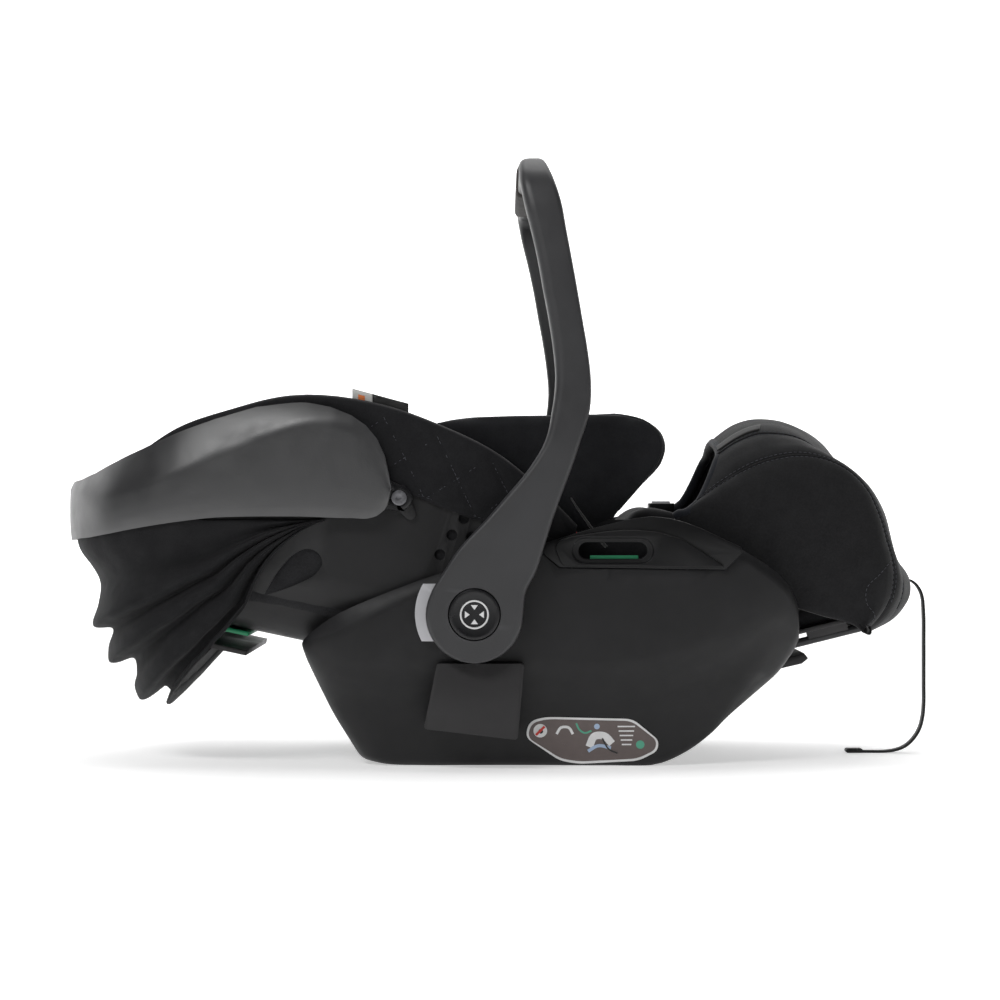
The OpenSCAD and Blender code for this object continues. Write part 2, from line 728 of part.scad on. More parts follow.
// ---- Harness adjuster's free end: flat webbing swept along its route ----
function strap_normal(i) =
    let (a = strap_route[max(i - 1, 0)], b = strap_route[min(i + 1, len(strap_route) - 1)])
    left_of(b - a);
module adjuster_strap() {
    w = strap_w / 2;
    t = strap_t / 2;
    section = [[w, -t / 2], [w, t / 2], [w - 0.5, t], [0.5 - w, t], [-w, t / 2], [-w, -t / 2],
        [0.5 - w, -t], [w - 0.5, -t]];
    n = len(section);
    last = len(strap_route) - 1;
    color([0.05, 0.05, 0.05]) polyhedron(
        points = [for (i = [0:last], p = section) let (q = strap_route[i] + strap_normal(i) * p[1])
            [q.x, p[0], q.y]],
        faces = concat(
            [[for (j = [0:n - 1]) j]],
            [for (i = [0:last - 1], j = [0:n - 1])
                [i * n + j, i * n + n + j, i * n + n + (j + 1) % n, i * n + (j + 1) % n]],
            [[for (j = [n - 1:-1:0]) last * n + j]]
        )
    );
}
module strap_end() {
    tip = strap_route[len(strap_route) - 1];
    color([0.05, 0.05, 0.05]) translate([tip.x - 16, -strap_w / 2 - 0.5, 0])
        cube([16, strap_w + 1, 4.4]);
}

base_shell();
seat_pan();
base_foam();
seat_cushion();
hip_bolster_left();
hip_bolster_right();
belt_guide_left();
belt_guide_right();
belt_markers();
adapter_socket_left();
adapter_socket_right();
pivot_collar_left();
pivot_collar_right();
pivot_pins();
recline_pins();
leg_rest_guides();
lock_bars();
base_feet();
info_labels();
cover_elastics();
crotch_strap();
buckle_housing();
buckle_button();
adjuster_housing();
adjuster_button();
release_lever();
release_pivot();
handle_frame();
handle_grip();
handle_button_left();
handle_button_right();
lock_gear_left();
lock_gear_right();
button_springs();
backrest_shell();
backrest_liner();
back_pad();
rim_cover();
rear_belt_guide();
shoulder_strap_left();
shoulder_strap_right();
rear_belt_marker();
care_tag();
hood_brackets();
harness_yoke();
headrest_shell();
headrest_pad();
headrest_grip();
visor();
hood_arms();
hood_fabric();
hood_screws();
leg_rest_frame();
leg_rest_panel();
leg_rest_pad();
foot_boot();
closure_tape();
adjuster_strap();
strap_end();
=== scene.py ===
import json
import math

import bmesh
import bpy
import numpy as np
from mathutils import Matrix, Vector, noise
from mathutils.bvhtree import BVHTree


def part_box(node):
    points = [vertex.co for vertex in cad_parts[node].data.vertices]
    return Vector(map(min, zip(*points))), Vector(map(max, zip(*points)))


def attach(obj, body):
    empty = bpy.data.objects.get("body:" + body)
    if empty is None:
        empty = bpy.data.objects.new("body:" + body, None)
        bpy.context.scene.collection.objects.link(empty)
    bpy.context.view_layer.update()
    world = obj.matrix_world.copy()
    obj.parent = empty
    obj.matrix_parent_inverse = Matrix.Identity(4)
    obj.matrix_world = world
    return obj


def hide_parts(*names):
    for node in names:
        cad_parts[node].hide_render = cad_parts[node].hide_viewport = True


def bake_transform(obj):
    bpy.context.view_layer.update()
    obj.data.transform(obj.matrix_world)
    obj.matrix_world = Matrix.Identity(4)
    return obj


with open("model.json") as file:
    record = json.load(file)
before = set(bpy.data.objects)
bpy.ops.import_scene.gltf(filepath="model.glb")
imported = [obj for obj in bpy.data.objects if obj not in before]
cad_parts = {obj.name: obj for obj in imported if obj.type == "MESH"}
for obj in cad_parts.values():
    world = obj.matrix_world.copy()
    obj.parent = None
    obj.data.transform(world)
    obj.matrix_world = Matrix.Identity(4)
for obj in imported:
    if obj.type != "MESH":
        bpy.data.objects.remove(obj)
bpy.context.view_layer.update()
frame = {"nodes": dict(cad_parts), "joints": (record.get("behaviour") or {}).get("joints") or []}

MM = 0.001
SIDES = (-1, 1)          # -1 is the side that faces the camera

# Places taken over from the frame, in millimetres
joints = {j["name"]: j for j in frame["joints"]}
HUB_X, _, HUB_Z = (v / MM for v in joints["handle_turn"]["pos_m"])


# ---------------------------------------------------------------- camera, light and floor
FLOOR_GLOW = 0.45
WALL_GLOW = 1.0
WORLD_GLOW = 0.07


def add_camera():
    data = bpy.data.cameras.new("camera")
    data.lens = 111.3
    data.sensor_width = 36
    data.clip_end = 30
    camera = bpy.data.objects.new("camera", data)
    camera.location = (0.010, -3.0, 0.245)
    camera.rotation_euler = (math.pi / 2, 0, 0)
    bpy.context.collection.objects.link(camera)
    bpy.context.scene.camera = camera


def add_light(name, spot, target, size, power):
    data = bpy.data.lights.new(name, "AREA")
    data.shape = "RECTANGLE"
    data.size, data.size_y = size
    data.energy = power
    light = bpy.data.objects.new(name, data)
    light.location = spot
    light.rotation_euler = (Vector(target) - Vector(spot)).to_track_quat("-Z", "Y").to_euler()
    bpy.context.collection.objects.link(light)


def fill_in(node, **values):
    """Sets a node's constant inputs; an underscore stands for a space in a name."""
    for name, value in values.items():
        node.inputs[name.replace("_", " ")].default_value = value


def backdrop(name, corners, colour, glow):
    mesh = bpy.data.meshes.new(name)
    mesh.from_pydata(corners, [], [(0, 1, 2, 3)])
    sheet = bpy.data.objects.new(name, mesh)
    bpy.context.collection.objects.link(sheet)
    paper = bpy.data.materials.new(f"{name}_paper")
    paper.use_nodes = True
    shader = paper.node_tree.nodes["Principled BSDF"]
    fill_in(shader, Base_Color=(*colour, 1), Roughness=0.9, Emission_Color=(1, 1, 1, 1),
            Emission_Strength=glow)
    mesh.materials.append(paper)


def add_studio():
    """White floor and a glowing white wall behind, in a dim room: black plastic stays black."""
    half, wall_y = 12.0, 4.0
    backdrop("floor", [(-half, -half, 0), (half, -half, 0), (half, wall_y, 0), (-half, wall_y, 0)],
             (0.95, 0.95, 0.95), FLOOR_GLOW)
    backdrop("wall", [(-half, wall_y, 0), (half, wall_y, 0), (half, wall_y, 9), (-half, wall_y, 9)],
             (0.9, 0.9, 0.9), WALL_GLOW)
    world = bpy.data.worlds.new("studio")
    world.use_nodes = True
    fill_in(world.node_tree.nodes["Background"], Color=(1, 1, 1, 1), Strength=WORLD_GLOW)
    bpy.context.scene.world = world
    add_light("key", (-1.2, -2.0, 1.9), (-0.15, 0, 0.25), (1.5, 0.5), 26)
    add_light("fill", (1.9, -2.2, 1.0), (0.1, 0, 0.2), (1.6, 1.6), 2)
    add_light("top", (0.1, 0.3, 2.6), (0, 0, 0.2), (2.2, 1.4), 30)
    bpy.context.scene.view_settings.view_transform = "Standard"


def by_index(points, per=4):
    """A smooth curve through the points, with the same number of samples between each pair."""
    p = np.array(points, float)
    gap = np.maximum(np.linalg.norm(np.diff(p, axis=0), axis=1), 1e-6)
    slope = np.diff(p, axis=0) / gap[:, None]
    tangent = np.empty_like(p)
    tangent[0], tangent[-1] = slope[0], slope[-1]
    weight = (gap[1:] / (gap[1:] + gap[:-1]))[:, None]
    tangent[1:-1] = slope[:-1] * weight + slope[1:] * (1 - weight)
    out = []
    for i in range(len(p) - 1):
        for s in np.linspace(0, 1, per, endpoint=False):
            a = 2 * s**3 - 3 * s**2 + 1
            b = s**3 - 2 * s**2 + s
            c = -2 * s**3 + 3 * s**2
            d = s**3 - s**2
            out.append(a * p[i] + b * gap[i] * tangent[i] + c * p[i + 1] + d * gap[i] * tangent[i + 1])
    out.append(p[-1])
    return np.array(out)


def evenly(points, count, closed=False):
    """The same line, sampled again at equal distances."""
    p = np.array(points, float)
    if closed:
        p = np.vstack([p, p[:1]])
    run = np.concatenate([[0], np.cumsum(np.linalg.norm(np.diff(p, axis=0), axis=1))])
    at = np.linspace(0, run[-1], count, endpoint=not closed)
    return np.stack([np.interp(at, run, p[:, k]) for k in range(p.shape[1])], axis=1)


def fillet(points, radii, steps=4, closed=False):
    """A line with its corners rounded; the number of points depends only on how many corners there are."""
    p = np.array(points, float)
    n = len(p)
    out = []
    for i in range(n):
        if not closed and i in (0, n - 1):
            out.append(p[i])
            continue
        before, after = p[i - 1] - p[i], p[(i + 1) % n] - p[i]
        la, lb = max(np.linalg.norm(before), 1e-6), max(np.linalg.norm(after), 1e-6)
        cut = min(radii[i], 0.48 * la, 0.48 * lb)
        start, end = p[i] + before / la * cut, p[i] + after / lb * cut
        for s in np.linspace(0, 1, steps + 1):
            out.append((1 - s) ** 2 * start + 2 * s * (1 - s) * p[i] + s**2 * end)
    return np.array(out)


def circle(x, z, r, count=28):
    return [(x + r * math.cos(a), z + r * math.sin(a))
            for a in np.linspace(0, 2 * math.pi, count, endpoint=False)]


def make(name, verts, faces, material, smooth=True):
    mesh = bpy.data.meshes.new(name)
    mesh.from_pydata([tuple(v) for v in np.array(verts, float) * MM], [], [tuple(f) for f in faces])
    bm = bmesh.new()
    bm.from_mesh(mesh)
    bmesh.ops.remove_doubles(bm, verts=bm.verts, dist=2e-5)
    bmesh.ops.dissolve_degenerate(bm, edges=bm.edges, dist=1e-5)
    bmesh.ops.recalc_face_normals(bm, faces=bm.faces)
    bm.to_mesh(mesh)
    bm.free()
    mesh.shade_smooth() if smooth else mesh.shade_flat()
    mesh.materials.append(material)
    piece = bpy.data.objects.new(name, mesh)
    bpy.context.collection.objects.link(piece)
    return piece


def grid_faces(rows, columns, wrap_rows=False, wrap_columns=False):
    faces = []
    for i in range(rows if wrap_rows else rows - 1):
        for j in range(columns if wrap_columns else columns - 1):
            a, b = i, (i + 1) % rows
            c, d = j, (j + 1) % columns
            faces.append((a * columns + c, a * columns + d, b * columns + d, b * columns + c))
    return faces


def surface(name, rows, material, wrap_rows=False, wrap_columns=False, caps=False):
    """A mesh over a grid of points; caps close the first and the last row with a face each."""
    rows = np.array(rows, float)
    r, c = rows.shape[:2]
    faces = grid_faces(r, c, wrap_rows, wrap_columns)
    if caps:
        faces += [tuple(range(c)), tuple((r - 1) * c + k for k in range(c - 1, -1, -1))]
    return make(name, rows.reshape(-1, 3), faces, material)


def applied(piece):
    """Turns the piece's modifiers into mesh."""
    bpy.context.view_layer.update()
    graph = bpy.context.evaluated_depsgraph_get()
    mesh = bpy.data.meshes.new_from_object(piece.evaluated_get(graph), depsgraph=graph)
    piece.modifiers.clear()
    old = piece.data
    piece.data = mesh
    mesh.name = piece.name
    bpy.data.meshes.remove(old)
    return piece


def thicken(piece, thickness, even=True):
    """Adds thickness behind a skin; even offsets shoot spikes out of tight folds."""
    modifier = piece.modifiers.new("thickness", "SOLIDIFY")
    modifier.thickness = thickness * MM
    modifier.offset = -1
    modifier.use_even_offset = even
    return applied(piece)


def soften(piece, width, segments, angle):
    """Rounds the edges that are sharper than the angle."""
    modifier = piece.modifiers.new("edges", "BEVEL")
    modifier.width = width * MM
    modifier.segments = segments
    modifier.limit_method = "ANGLE"
    modifier.angle_limit = math.radians(angle)
    modifier.harden_normals = False
    applied(piece)
    sharpen(piece, angle)
    return piece


def sharpen(piece, angle):
    """Shades smooth, but keeps edges sharper than the angle."""
    piece.data.shade_smooth()
    piece.data.set_sharp_from_angle(angle=math.radians(angle))
    return piece


def flatten(piece):
    """Shades large faces flat up to their rounded edges."""
    modifier = piece.modifiers.new("normals", "WEIGHTED_NORMAL")
    modifier.keep_sharp = True
    return applied(piece)


def rounder(piece):
    """Subdivides once."""
    modifier = piece.modifiers.new("rounder", "SUBSURF")
    modifier.levels = modifier.render_levels = 1
    applied(piece)
    piece.data.shade_smooth()
    return piece


def cut(piece, *cutters, careful=False):
    """Cuts the cutters' shapes out of the piece and removes them; careful where its skin meets itself."""
    for cutter in cutters:
        modifier = piece.modifiers.new("cut", "BOOLEAN")
        modifier.operation = "DIFFERENCE"
        modifier.solver = "EXACT"
        modifier.use_self = careful
        modifier.object = cutter
        applied(piece)
        bpy.data.objects.remove(cutter)
    return piece


def joined(name, pieces):
    """One object out of several, with the first one's materials first."""
    bm = bmesh.new()
    materials = []
    for piece in pieces:
        offset = {}
        for k, material in enumerate(piece.data.materials):
            if material not in materials:
                materials.append(material)
            offset[k] = materials.index(material)
        before = len(bm.faces)
        bm.from_mesh(piece.data)
        bm.faces.ensure_lookup_table()
        for face in bm.faces[before:]:
            face.material_index = offset.get(face.material_index, 0)
        bpy.data.objects.remove(piece)
    mesh = bpy.data.meshes.new(name)
    bm.to_mesh(mesh)
    bm.free()
    for material in materials:
        mesh.materials.append(material)
    result = bpy.data.objects.new(name, mesh)
    bpy.context.collection.objects.link(result)
    return result


def both_sides(rows):
    """Rows that run to the middle plane on the near side, continued on the far side."""
    rows = np.array(rows, float)
    return np.concatenate([rows, rows[-2::-1] * (1, -1, 1)])


def directions(line):
    """Unit vectors along a line of points."""
    along = np.gradient(line, axis=0)
    return along / np.linalg.norm(along, axis=1)[:, None]


def prism(name, outline, y0, y1, material):
    """An XZ outline drawn out along Y."""
    o = np.array(outline, float)
    n = len(o)
    verts = [(x, y, z) for y in (y0, y1) for x, z in o]
    faces = [(i, (i + 1) % n, n + (i + 1) % n, n + i) for i in range(n)]
    faces += [tuple(range(n)), tuple(range(2 * n - 1, n - 1, -1))]
    return make(name, verts, faces, material, smooth=False)


def lathe(name, profile, x, z, material, side, segments=64):
    """Turns a [radius, distance from the middle plane] profile around an axis along Y."""
    rows = []
    for k in range(segments):
        a = 2 * math.pi * k / segments
        rows.append([(x + r * math.cos(a), side * d, z + r * math.sin(a)) for r, d in profile])
    return surface(name, rows, material, wrap_rows=True)


def tube(name, path, radius, material, sides, flat=1.0):
    """A round or flattened tube along a path; radius may be one number or one for each point."""
    p = np.array(path, float)
    n = len(p)
    radius = np.broadcast_to(np.array(radius, float), n)
    tangent = directions(p)
    up = np.array((0, 1, 0.001)) if abs(tangent[0][1]) < 0.9 else np.array((1, 0, 0))
    rows = []
    for i in range(n):
        side = np.cross(up, tangent[i])
        side /= max(np.linalg.norm(side), 1e-9)
        up = np.cross(tangent[i], side)
        ring = [p[i] + radius[i] * (math.cos(a) * up + flat * math.sin(a) * side)
                for a in np.linspace(0, 2 * math.pi, sides, endpoint=False)]
        rows.append(ring)
    return surface(name, rows, material, wrap_columns=True, caps=True)


STITCH = 3.2
STITCH_GAP = 1.4


def stitches(name, path, material, radius=0.32):
    """A row of sewn stitches along a path."""
    p = np.array(path, float)
    run = np.concatenate([[0], np.cumsum(np.linalg.norm(np.diff(p, axis=0), axis=1))])
    verts, faces = [], []
    start = 0.0
    while start + STITCH < run[-1]:
        at = start + STITCH * np.array((0.0, 0.2, 0.5, 0.8, 1.0))
        middle = np.stack([np.interp(at, run, p[:, k]) for k in range(3)], axis=1)
        direction = middle[-1] - middle[0]
        direction /= max(np.linalg.norm(direction), 1e-9)
        side = np.cross(direction, (0.3, 0.8, 0.5))
        side /= np.linalg.norm(side)
        up = np.cross(side, direction)
        for centre, scale in zip(middle, (0.3, 0.9, 1.0, 0.9, 0.3)):
            for a in (0, math.pi / 2, math.pi, 3 * math.pi / 2):
                verts.append(centre + radius * scale * (math.cos(a) * side + math.sin(a) * up))
        base = len(verts) - 20
        faces += [tuple(base + v for v in f) for f in grid_faces(5, 4, wrap_columns=True)]
        faces += [(base, base + 1, base + 2, base + 3), (base + 19, base + 18, base + 17, base + 16)]
        start += STITCH + STITCH_GAP
    return make(name, verts, faces, material)


def tree_of(*pieces):
    """For finding a surface under a point."""
    bm = bmesh.new()
    for piece in pieces:
        bm.from_mesh(piece.data)
    tree = BVHTree.FromBMesh(bm)
    bm.free()
    return tree


def side_y(tree, x, z, side):
    """How far out a side's surface is at x and z."""
    hit = tree.ray_cast(Vector((x * MM, side * 0.4, z * MM)), Vector((0, -side, 0)))
    return hit[0].y / MM if hit[0] is not None else None


CLOTH_FRAMES = 20


def plump(piece, voxel, pressure, cap):
    """Padded fabric: remeshed, blown up as cloth, and held within a few millimetres of its first shape."""
    modifier = piece.modifiers.new("remesh", "REMESH")
    modifier.mode = "VOXEL"
    modifier.voxel_size = voxel * MM
    applied(piece)
    start = np.array([v.co for v in piece.data.vertices], float)
    cloth = piece.modifiers.new("cloth", "CLOTH")
    cloth.settings.use_pressure = True
    cloth.settings.uniform_pressure_force = pressure
    cloth.settings.effector_weights.gravity = 0
    cloth.settings.quality = 6
    cloth.settings.mass = 0.3
    cloth.settings.tension_stiffness = 25
    cloth.settings.bending_stiffness = 1.0
    cloth.point_cache.frame_start = 1
    cloth.point_cache.frame_end = CLOTH_FRAMES
    for f in range(1, CLOTH_FRAMES + 1):
        bpy.context.scene.frame_set(f)
    applied(piece)
    bpy.context.scene.frame_set(1)
    end = np.array([v.co for v in piece.data.vertices], float)
    move = end - start
    length = np.maximum(np.linalg.norm(move, axis=1), 1e-9)
    move *= np.minimum(1, cap * MM / length)[:, None]
    piece.data.vertices.foreach_set("co", (start + move).ravel())
    piece.data.update()
    return rounder(piece)


def from_node(name, node, material):
    """A copy of a CAD node's mesh to work on."""
    source = frame["nodes"][node]
    piece = source.copy()
    piece.data = source.data.copy()
    piece.name = name
    piece.parent = None
    piece.matrix_world = source.matrix_world
    piece.data.materials.clear()
    piece.data.materials.append(material)
    piece.hide_render = piece.hide_viewport = False
    for key in list(piece.keys()):
        del piece[key]
    bpy.context.collection.objects.link(piece)
    bm = bmesh.new()
    bm.from_mesh(piece.data)
    bmesh.ops.remove_doubles(bm, verts=bm.verts, dist=1e-6)
    bm.to_mesh(piece.data)
    bm.free()
    return piece


def place(piece, body, slot, *nodes, mode="ride"):
    """Makes a finished piece move with its body when its mode is ride, and hides the CAD nodes that it stands
    for; the slot is not used.
    """
    if mode == "ride":
        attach(piece, body)
    if nodes:
        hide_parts(*nodes)
    return piece


# ---------------------------------------------------------------- materials
def new_material(name):
    material = bpy.data.materials.new(name)
    material.use_nodes = True
    tree = material.node_tree
    coords = tree.nodes.new("ShaderNodeTexCoord").outputs["Object"]
    return material, tree, tree.nodes["Principled BSDF"], coords


def noise_of(tree, coords, scale, detail, roughness=0.5):
    node = tree.nodes.new("ShaderNodeTexNoise")
    fill_in(node, Scale=scale, Detail=detail, Roughness=roughness)
    tree.links.new(coords, node.inputs["Vector"])
    return node.outputs["Fac"]


def between(tree, value, low, high, start=0.3, end=0.7):
    """Maps a texture's value to a range of numbers."""
    node = tree.nodes.new("ShaderNodeMapRange")
    fill_in(node, From_Min=start, From_Max=end, To_Min=low, To_Max=high)
    tree.links.new(value, node.inputs["Value"])
    return node.outputs["Result"]


def tinted(tree, value, dark, light):
    """Maps a texture's value to a colour between two."""
    node = tree.nodes.new("ShaderNodeValToRGB")
    node.color_ramp.elements[0].position = 0.3
    node.color_ramp.elements[1].position = 0.7
    node.color_ramp.elements[0].color = (*dark, 1)
    node.color_ramp.elements[1].color = (*light, 1)
    tree.links.new(value, node.inputs["Fac"])
    return node.outputs["Color"]


def bumped(tree, height, strength, distance, normal=None):
    node = tree.nodes.new("ShaderNodeBump")
    fill_in(node, Strength=strength, Distance=distance)
    tree.links.new(height, node.inputs["Height"])
    if normal is not None:
        tree.links.new(normal, node.inputs["Normal"])
    return node.outputs["Normal"]


def lighter(colour, factor):
    return tuple(min(1.0, c * factor) for c in colour)


def plastic(name, colour, rough, grain=1500, strength=0.25, mottle=0.12, wear=1.35, shine=0.4):
    """Moulded plastic: fine spark-eroded grain, uneven gloss, and edges rubbed a little lighter."""
    material, tree, shader, coords = new_material(name)
    patches = noise_of(tree, coords, 14, 3)
    colour_out = tinted(tree, patches, lighter(colour, 1 - mottle), lighter(colour, 1 + mottle))
    edges = tree.nodes.new("ShaderNodeNewGeometry").outputs["Pointiness"]
    worn = tree.nodes.new("ShaderNodeMix")
    worn.data_type = "RGBA"
    tree.links.new(between(tree, edges, 0, 1, 0.53, 0.62), worn.inputs["Factor"])
    tree.links.new(colour_out, worn.inputs["A"])
    worn.inputs["B"].default_value = (*lighter(colour, wear), 1)
    tree.links.new(worn.outputs["Result"], shader.inputs["Base Color"])
    tree.links.new(between(tree, noise_of(tree, coords, 45, 3), rough - 0.05, rough + 0.06),
                   shader.inputs["Roughness"])
    fine = noise_of(tree, coords, grain, 2, 0.7)
    tree.links.new(bumped(tree, fine, strength, 0.00012), shader.inputs["Normal"])
    shader.inputs["Specular IOR Level"].default_value = shine
    return material


def metal(name, colour, rough):
    material, tree, shader, coords = new_material(name)
    streaks = noise_of(tree, coords, 420, 2)
    tree.links.new(tinted(tree, streaks, lighter(colour, 0.85), lighter(colour, 1.1)),
                   shader.inputs["Base Color"])
    tree.links.new(between(tree, streaks, rough - 0.06, rough + 0.1), shader.inputs["Roughness"])
    tree.links.new(bumped(tree, streaks, 0.1, 0.00005), shader.inputs["Normal"])
    shader.inputs["Metallic"].default_value = 1.0
    return material


def weave_height(tree, coords, pitch):
    """Threads over and under one another, along X and across it."""
    apart = tree.nodes.new("ShaderNodeSeparateXYZ")
    tree.links.new(coords, apart.inputs[0])

    def maths(operation, a, b=None):
        node = tree.nodes.new("ShaderNodeMath")
        node.operation = operation
        for socket, value in zip(node.inputs, (a, b)):
            if value is None:
                continue
            if isinstance(value, (int, float)):
                socket.default_value = value
            else:
                tree.links.new(value, socket)
        return node.outputs[0]

    turn = 2 * math.pi / (pitch * MM)
    across = maths("ADD", apart.outputs["Z"], maths("MULTIPLY", apart.outputs["Y"], 0.83))
    u = maths("MULTIPLY", maths("ADD", apart.outputs["X"], maths("MULTIPLY", apart.outputs["Y"], 0.31)), turn)
    v = maths("MULTIPLY", across, turn)
    product = maths("MULTIPLY", maths("SINE", u), maths("SINE", v))
    return maths("ADD", maths("MULTIPLY", product, 0.5), 0.5)


CLOTH_ROUGHNESS = 0.85


def fabric(name, colour, pitch, strength=0.5, sheen=0.25, heather=0.25, rumple=0.12):
    """Woven or knitted cloth: threads, flecks of lighter yarn, soft rumples and a fibre sheen."""
    material, tree, shader, coords = new_material(name)
    weave = weave_height(tree, coords, pitch)
    flecks = noise_of(tree, coords, 900 / pitch, 2, 0.6)
    tree.links.new(tinted(tree, flecks, lighter(colour, 1 - heather), lighter(colour, 1 + heather)),
                   shader.inputs["Base Color"])
    uneven = between(tree, noise_of(tree, coords, 60, 2), CLOTH_ROUGHNESS - 0.06, CLOTH_ROUGHNESS + 0.06)
    tree.links.new(uneven, shader.inputs["Roughness"])
    threads = bumped(tree, weave, strength, 0.0002)
    soft = bumped(tree, noise_of(tree, coords, 24, 3), rumple, 0.004, threads)
    tree.links.new(soft, shader.inputs["Normal"])
    fill_in(shader, Sheen_Weight=sheen, Sheen_Roughness=0.45, Specular_IOR_Level=0.25)
    return material


RIB_PITCH = 2.0


def ribbed(name, colour):
    """Narrow webbing: ribs across its length and fine yarn."""
    material, tree, shader, coords = new_material(name)
    wave = tree.nodes.new("ShaderNodeTexWave")
    wave.bands_direction = "DIAGONAL"
    wave.inputs["Scale"].default_value = 0.314 / (RIB_PITCH * MM)
    tree.links.new(coords, wave.inputs["Vector"])
    yarn = noise_of(tree, coords, 1800, 2)
    tree.links.new(tinted(tree, yarn, lighter(colour, 0.7), lighter(colour, 1.4)),
                   shader.inputs["Base Color"])
    first = bumped(tree, wave.outputs["Fac"], 0.5, 0.0003)
    tree.links.new(bumped(tree, yarn, 0.3, 0.0001, first), shader.inputs["Normal"])
    fill_in(shader, Roughness=0.8, Sheen_Weight=0.2)
    return material


INK_ROUGHNESS = 0.4


def printed(name, colour):
    """Ink on a sticker or a ribbon: nearly flat, with a little unevenness."""
    material, tree, shader, coords = new_material(name)
    patches = noise_of(tree, coords, 160, 3)
    tree.links.new(tinted(tree, patches, lighter(colour, 0.94), lighter(colour, 1.05)),
                   shader.inputs["Base Color"])
    tree.links.new(between(tree, patches, INK_ROUGHNESS - 0.04, INK_ROUGHNESS + 0.06),
                   shader.inputs["Roughness"])
    tree.links.new(bumped(tree, noise_of(tree, coords, 900, 2), 0.08, 0.00005), shader.inputs["Normal"])
    return material


SHELL = plastic("shell_plastic", (0.0085, 0.0084, 0.0092), 0.48, shine=0.32)
GUIDE = plastic("guide_plastic", (0.0045, 0.0045, 0.005), 0.42, shine=0.28)
INNER = plastic("inner_plastic", (0.020, 0.019, 0.020), 0.5)
BACK = plastic("back_plastic", (0.010, 0.0098, 0.0106), 0.45, grain=1100, shine=0.35)
HANDLE = plastic("handle_plastic", (0.034, 0.034, 0.036), 0.42, shine=0.5)
VISOR = plastic("visor_plastic", (0.019, 0.019, 0.0205), 0.38, grain=900, strength=0.7, mottle=0.08,
                shine=1.0)
GRIP = plastic("grip_rubber", (0.030, 0.026, 0.024), 0.72, grain=700, strength=0.4)
BUTTON = plastic("button_plastic", (0.006, 0.006, 0.007), 0.3, strength=0.08)
COLLAR = plastic("collar_plastic", (0.48, 0.48, 0.50), 0.42, wear=1.1)
GREEN = plastic("green_plastic", (0.02, 0.22, 0.10), 0.4)
RED = plastic("red_plastic", (0.45, 0.015, 0.015), 0.35)
FEET = plastic("feet_rubber", (0.02, 0.02, 0.02), 0.8)
FOAM = plastic("grey_foam", (0.35, 0.35, 0.36), 0.9, grain=260, strength=0.8)
STEEL = metal("plated_steel", (0.55, 0.55, 0.57), 0.32)
DARK_STEEL = metal("dark_steel", (0.16, 0.16, 0.17), 0.4)
RODS = plastic("painted_rods", (0.018, 0.018, 0.019), 0.4, strength=0.08)
KNIT = fabric("cushion_knit", (0.012, 0.012, 0.0135), pitch=1.6)
BOLSTER = fabric("bolster_knit", (0.0075, 0.0078, 0.0095), pitch=1.1, strength=0.3, sheen=0.12)
QUILT = fabric("quilted_cloth", (0.0085, 0.0085, 0.0098), pitch=1.4, sheen=0.12)
HOOD = fabric("hood_cloth", (0.0075, 0.0075, 0.0085), pitch=1.0, strength=0.35, sheen=0.05, rumple=0.3)
BOOT = fabric("boot_cloth", (0.0095, 0.0095, 0.0105), pitch=1.5, sheen=0.15)
GUSSET = fabric("boot_gusset_cloth", (0.010, 0.0115, 0.016), pitch=1.2, sheen=0.2)
WEBBING = ribbed("black_webbing", (0.010, 0.010, 0.010))
THREAD = fabric("grey_thread", (0.075, 0.078, 0.09), pitch=0.4, sheen=0.1)
WHITE = printed("white_ink", (0.72, 0.72, 0.72))
BROWN = printed("brown_ink", (0.115, 0.09, 0.085))
RED_INK = printed("red_ink", (0.55, 0.03, 0.02))
BLUE_INK = printed("pale_blue_ink", (0.36, 0.46, 0.62))
GREEN_INK = printed("green_ink", (0.08, 0.36, 0.24))
BLACK_INK = printed("black_ink", (0.012, 0.012, 0.012))
ORANGE_INK = printed("orange_ink", (0.75, 0.2, 0.05))
TAG = fabric("tag_ribbon", (0.62, 0.62, 0.6), pitch=0.7, heather=0.05, sheen=0.1)


# ---------------------------------------------------------------- camera, and the strap at the foot end
add_camera()
add_studio()

STRAP_ROUTE = [
    (403, 168), (408, 167), (413, 163.5), (417, 158), (419.5, 151), (420.5, 141), (421, 128), (421, 112),
    (421, 96), (421, 80), (421, 64), (421, 48), (420, 36), (417, 24), (411, 14), (402, 6),
    (391, 2.2), (380, 1.2), (369, 1.2), (360, 1.2)]
STRAP_WIDTH = 15
STRAP_THICK = 2


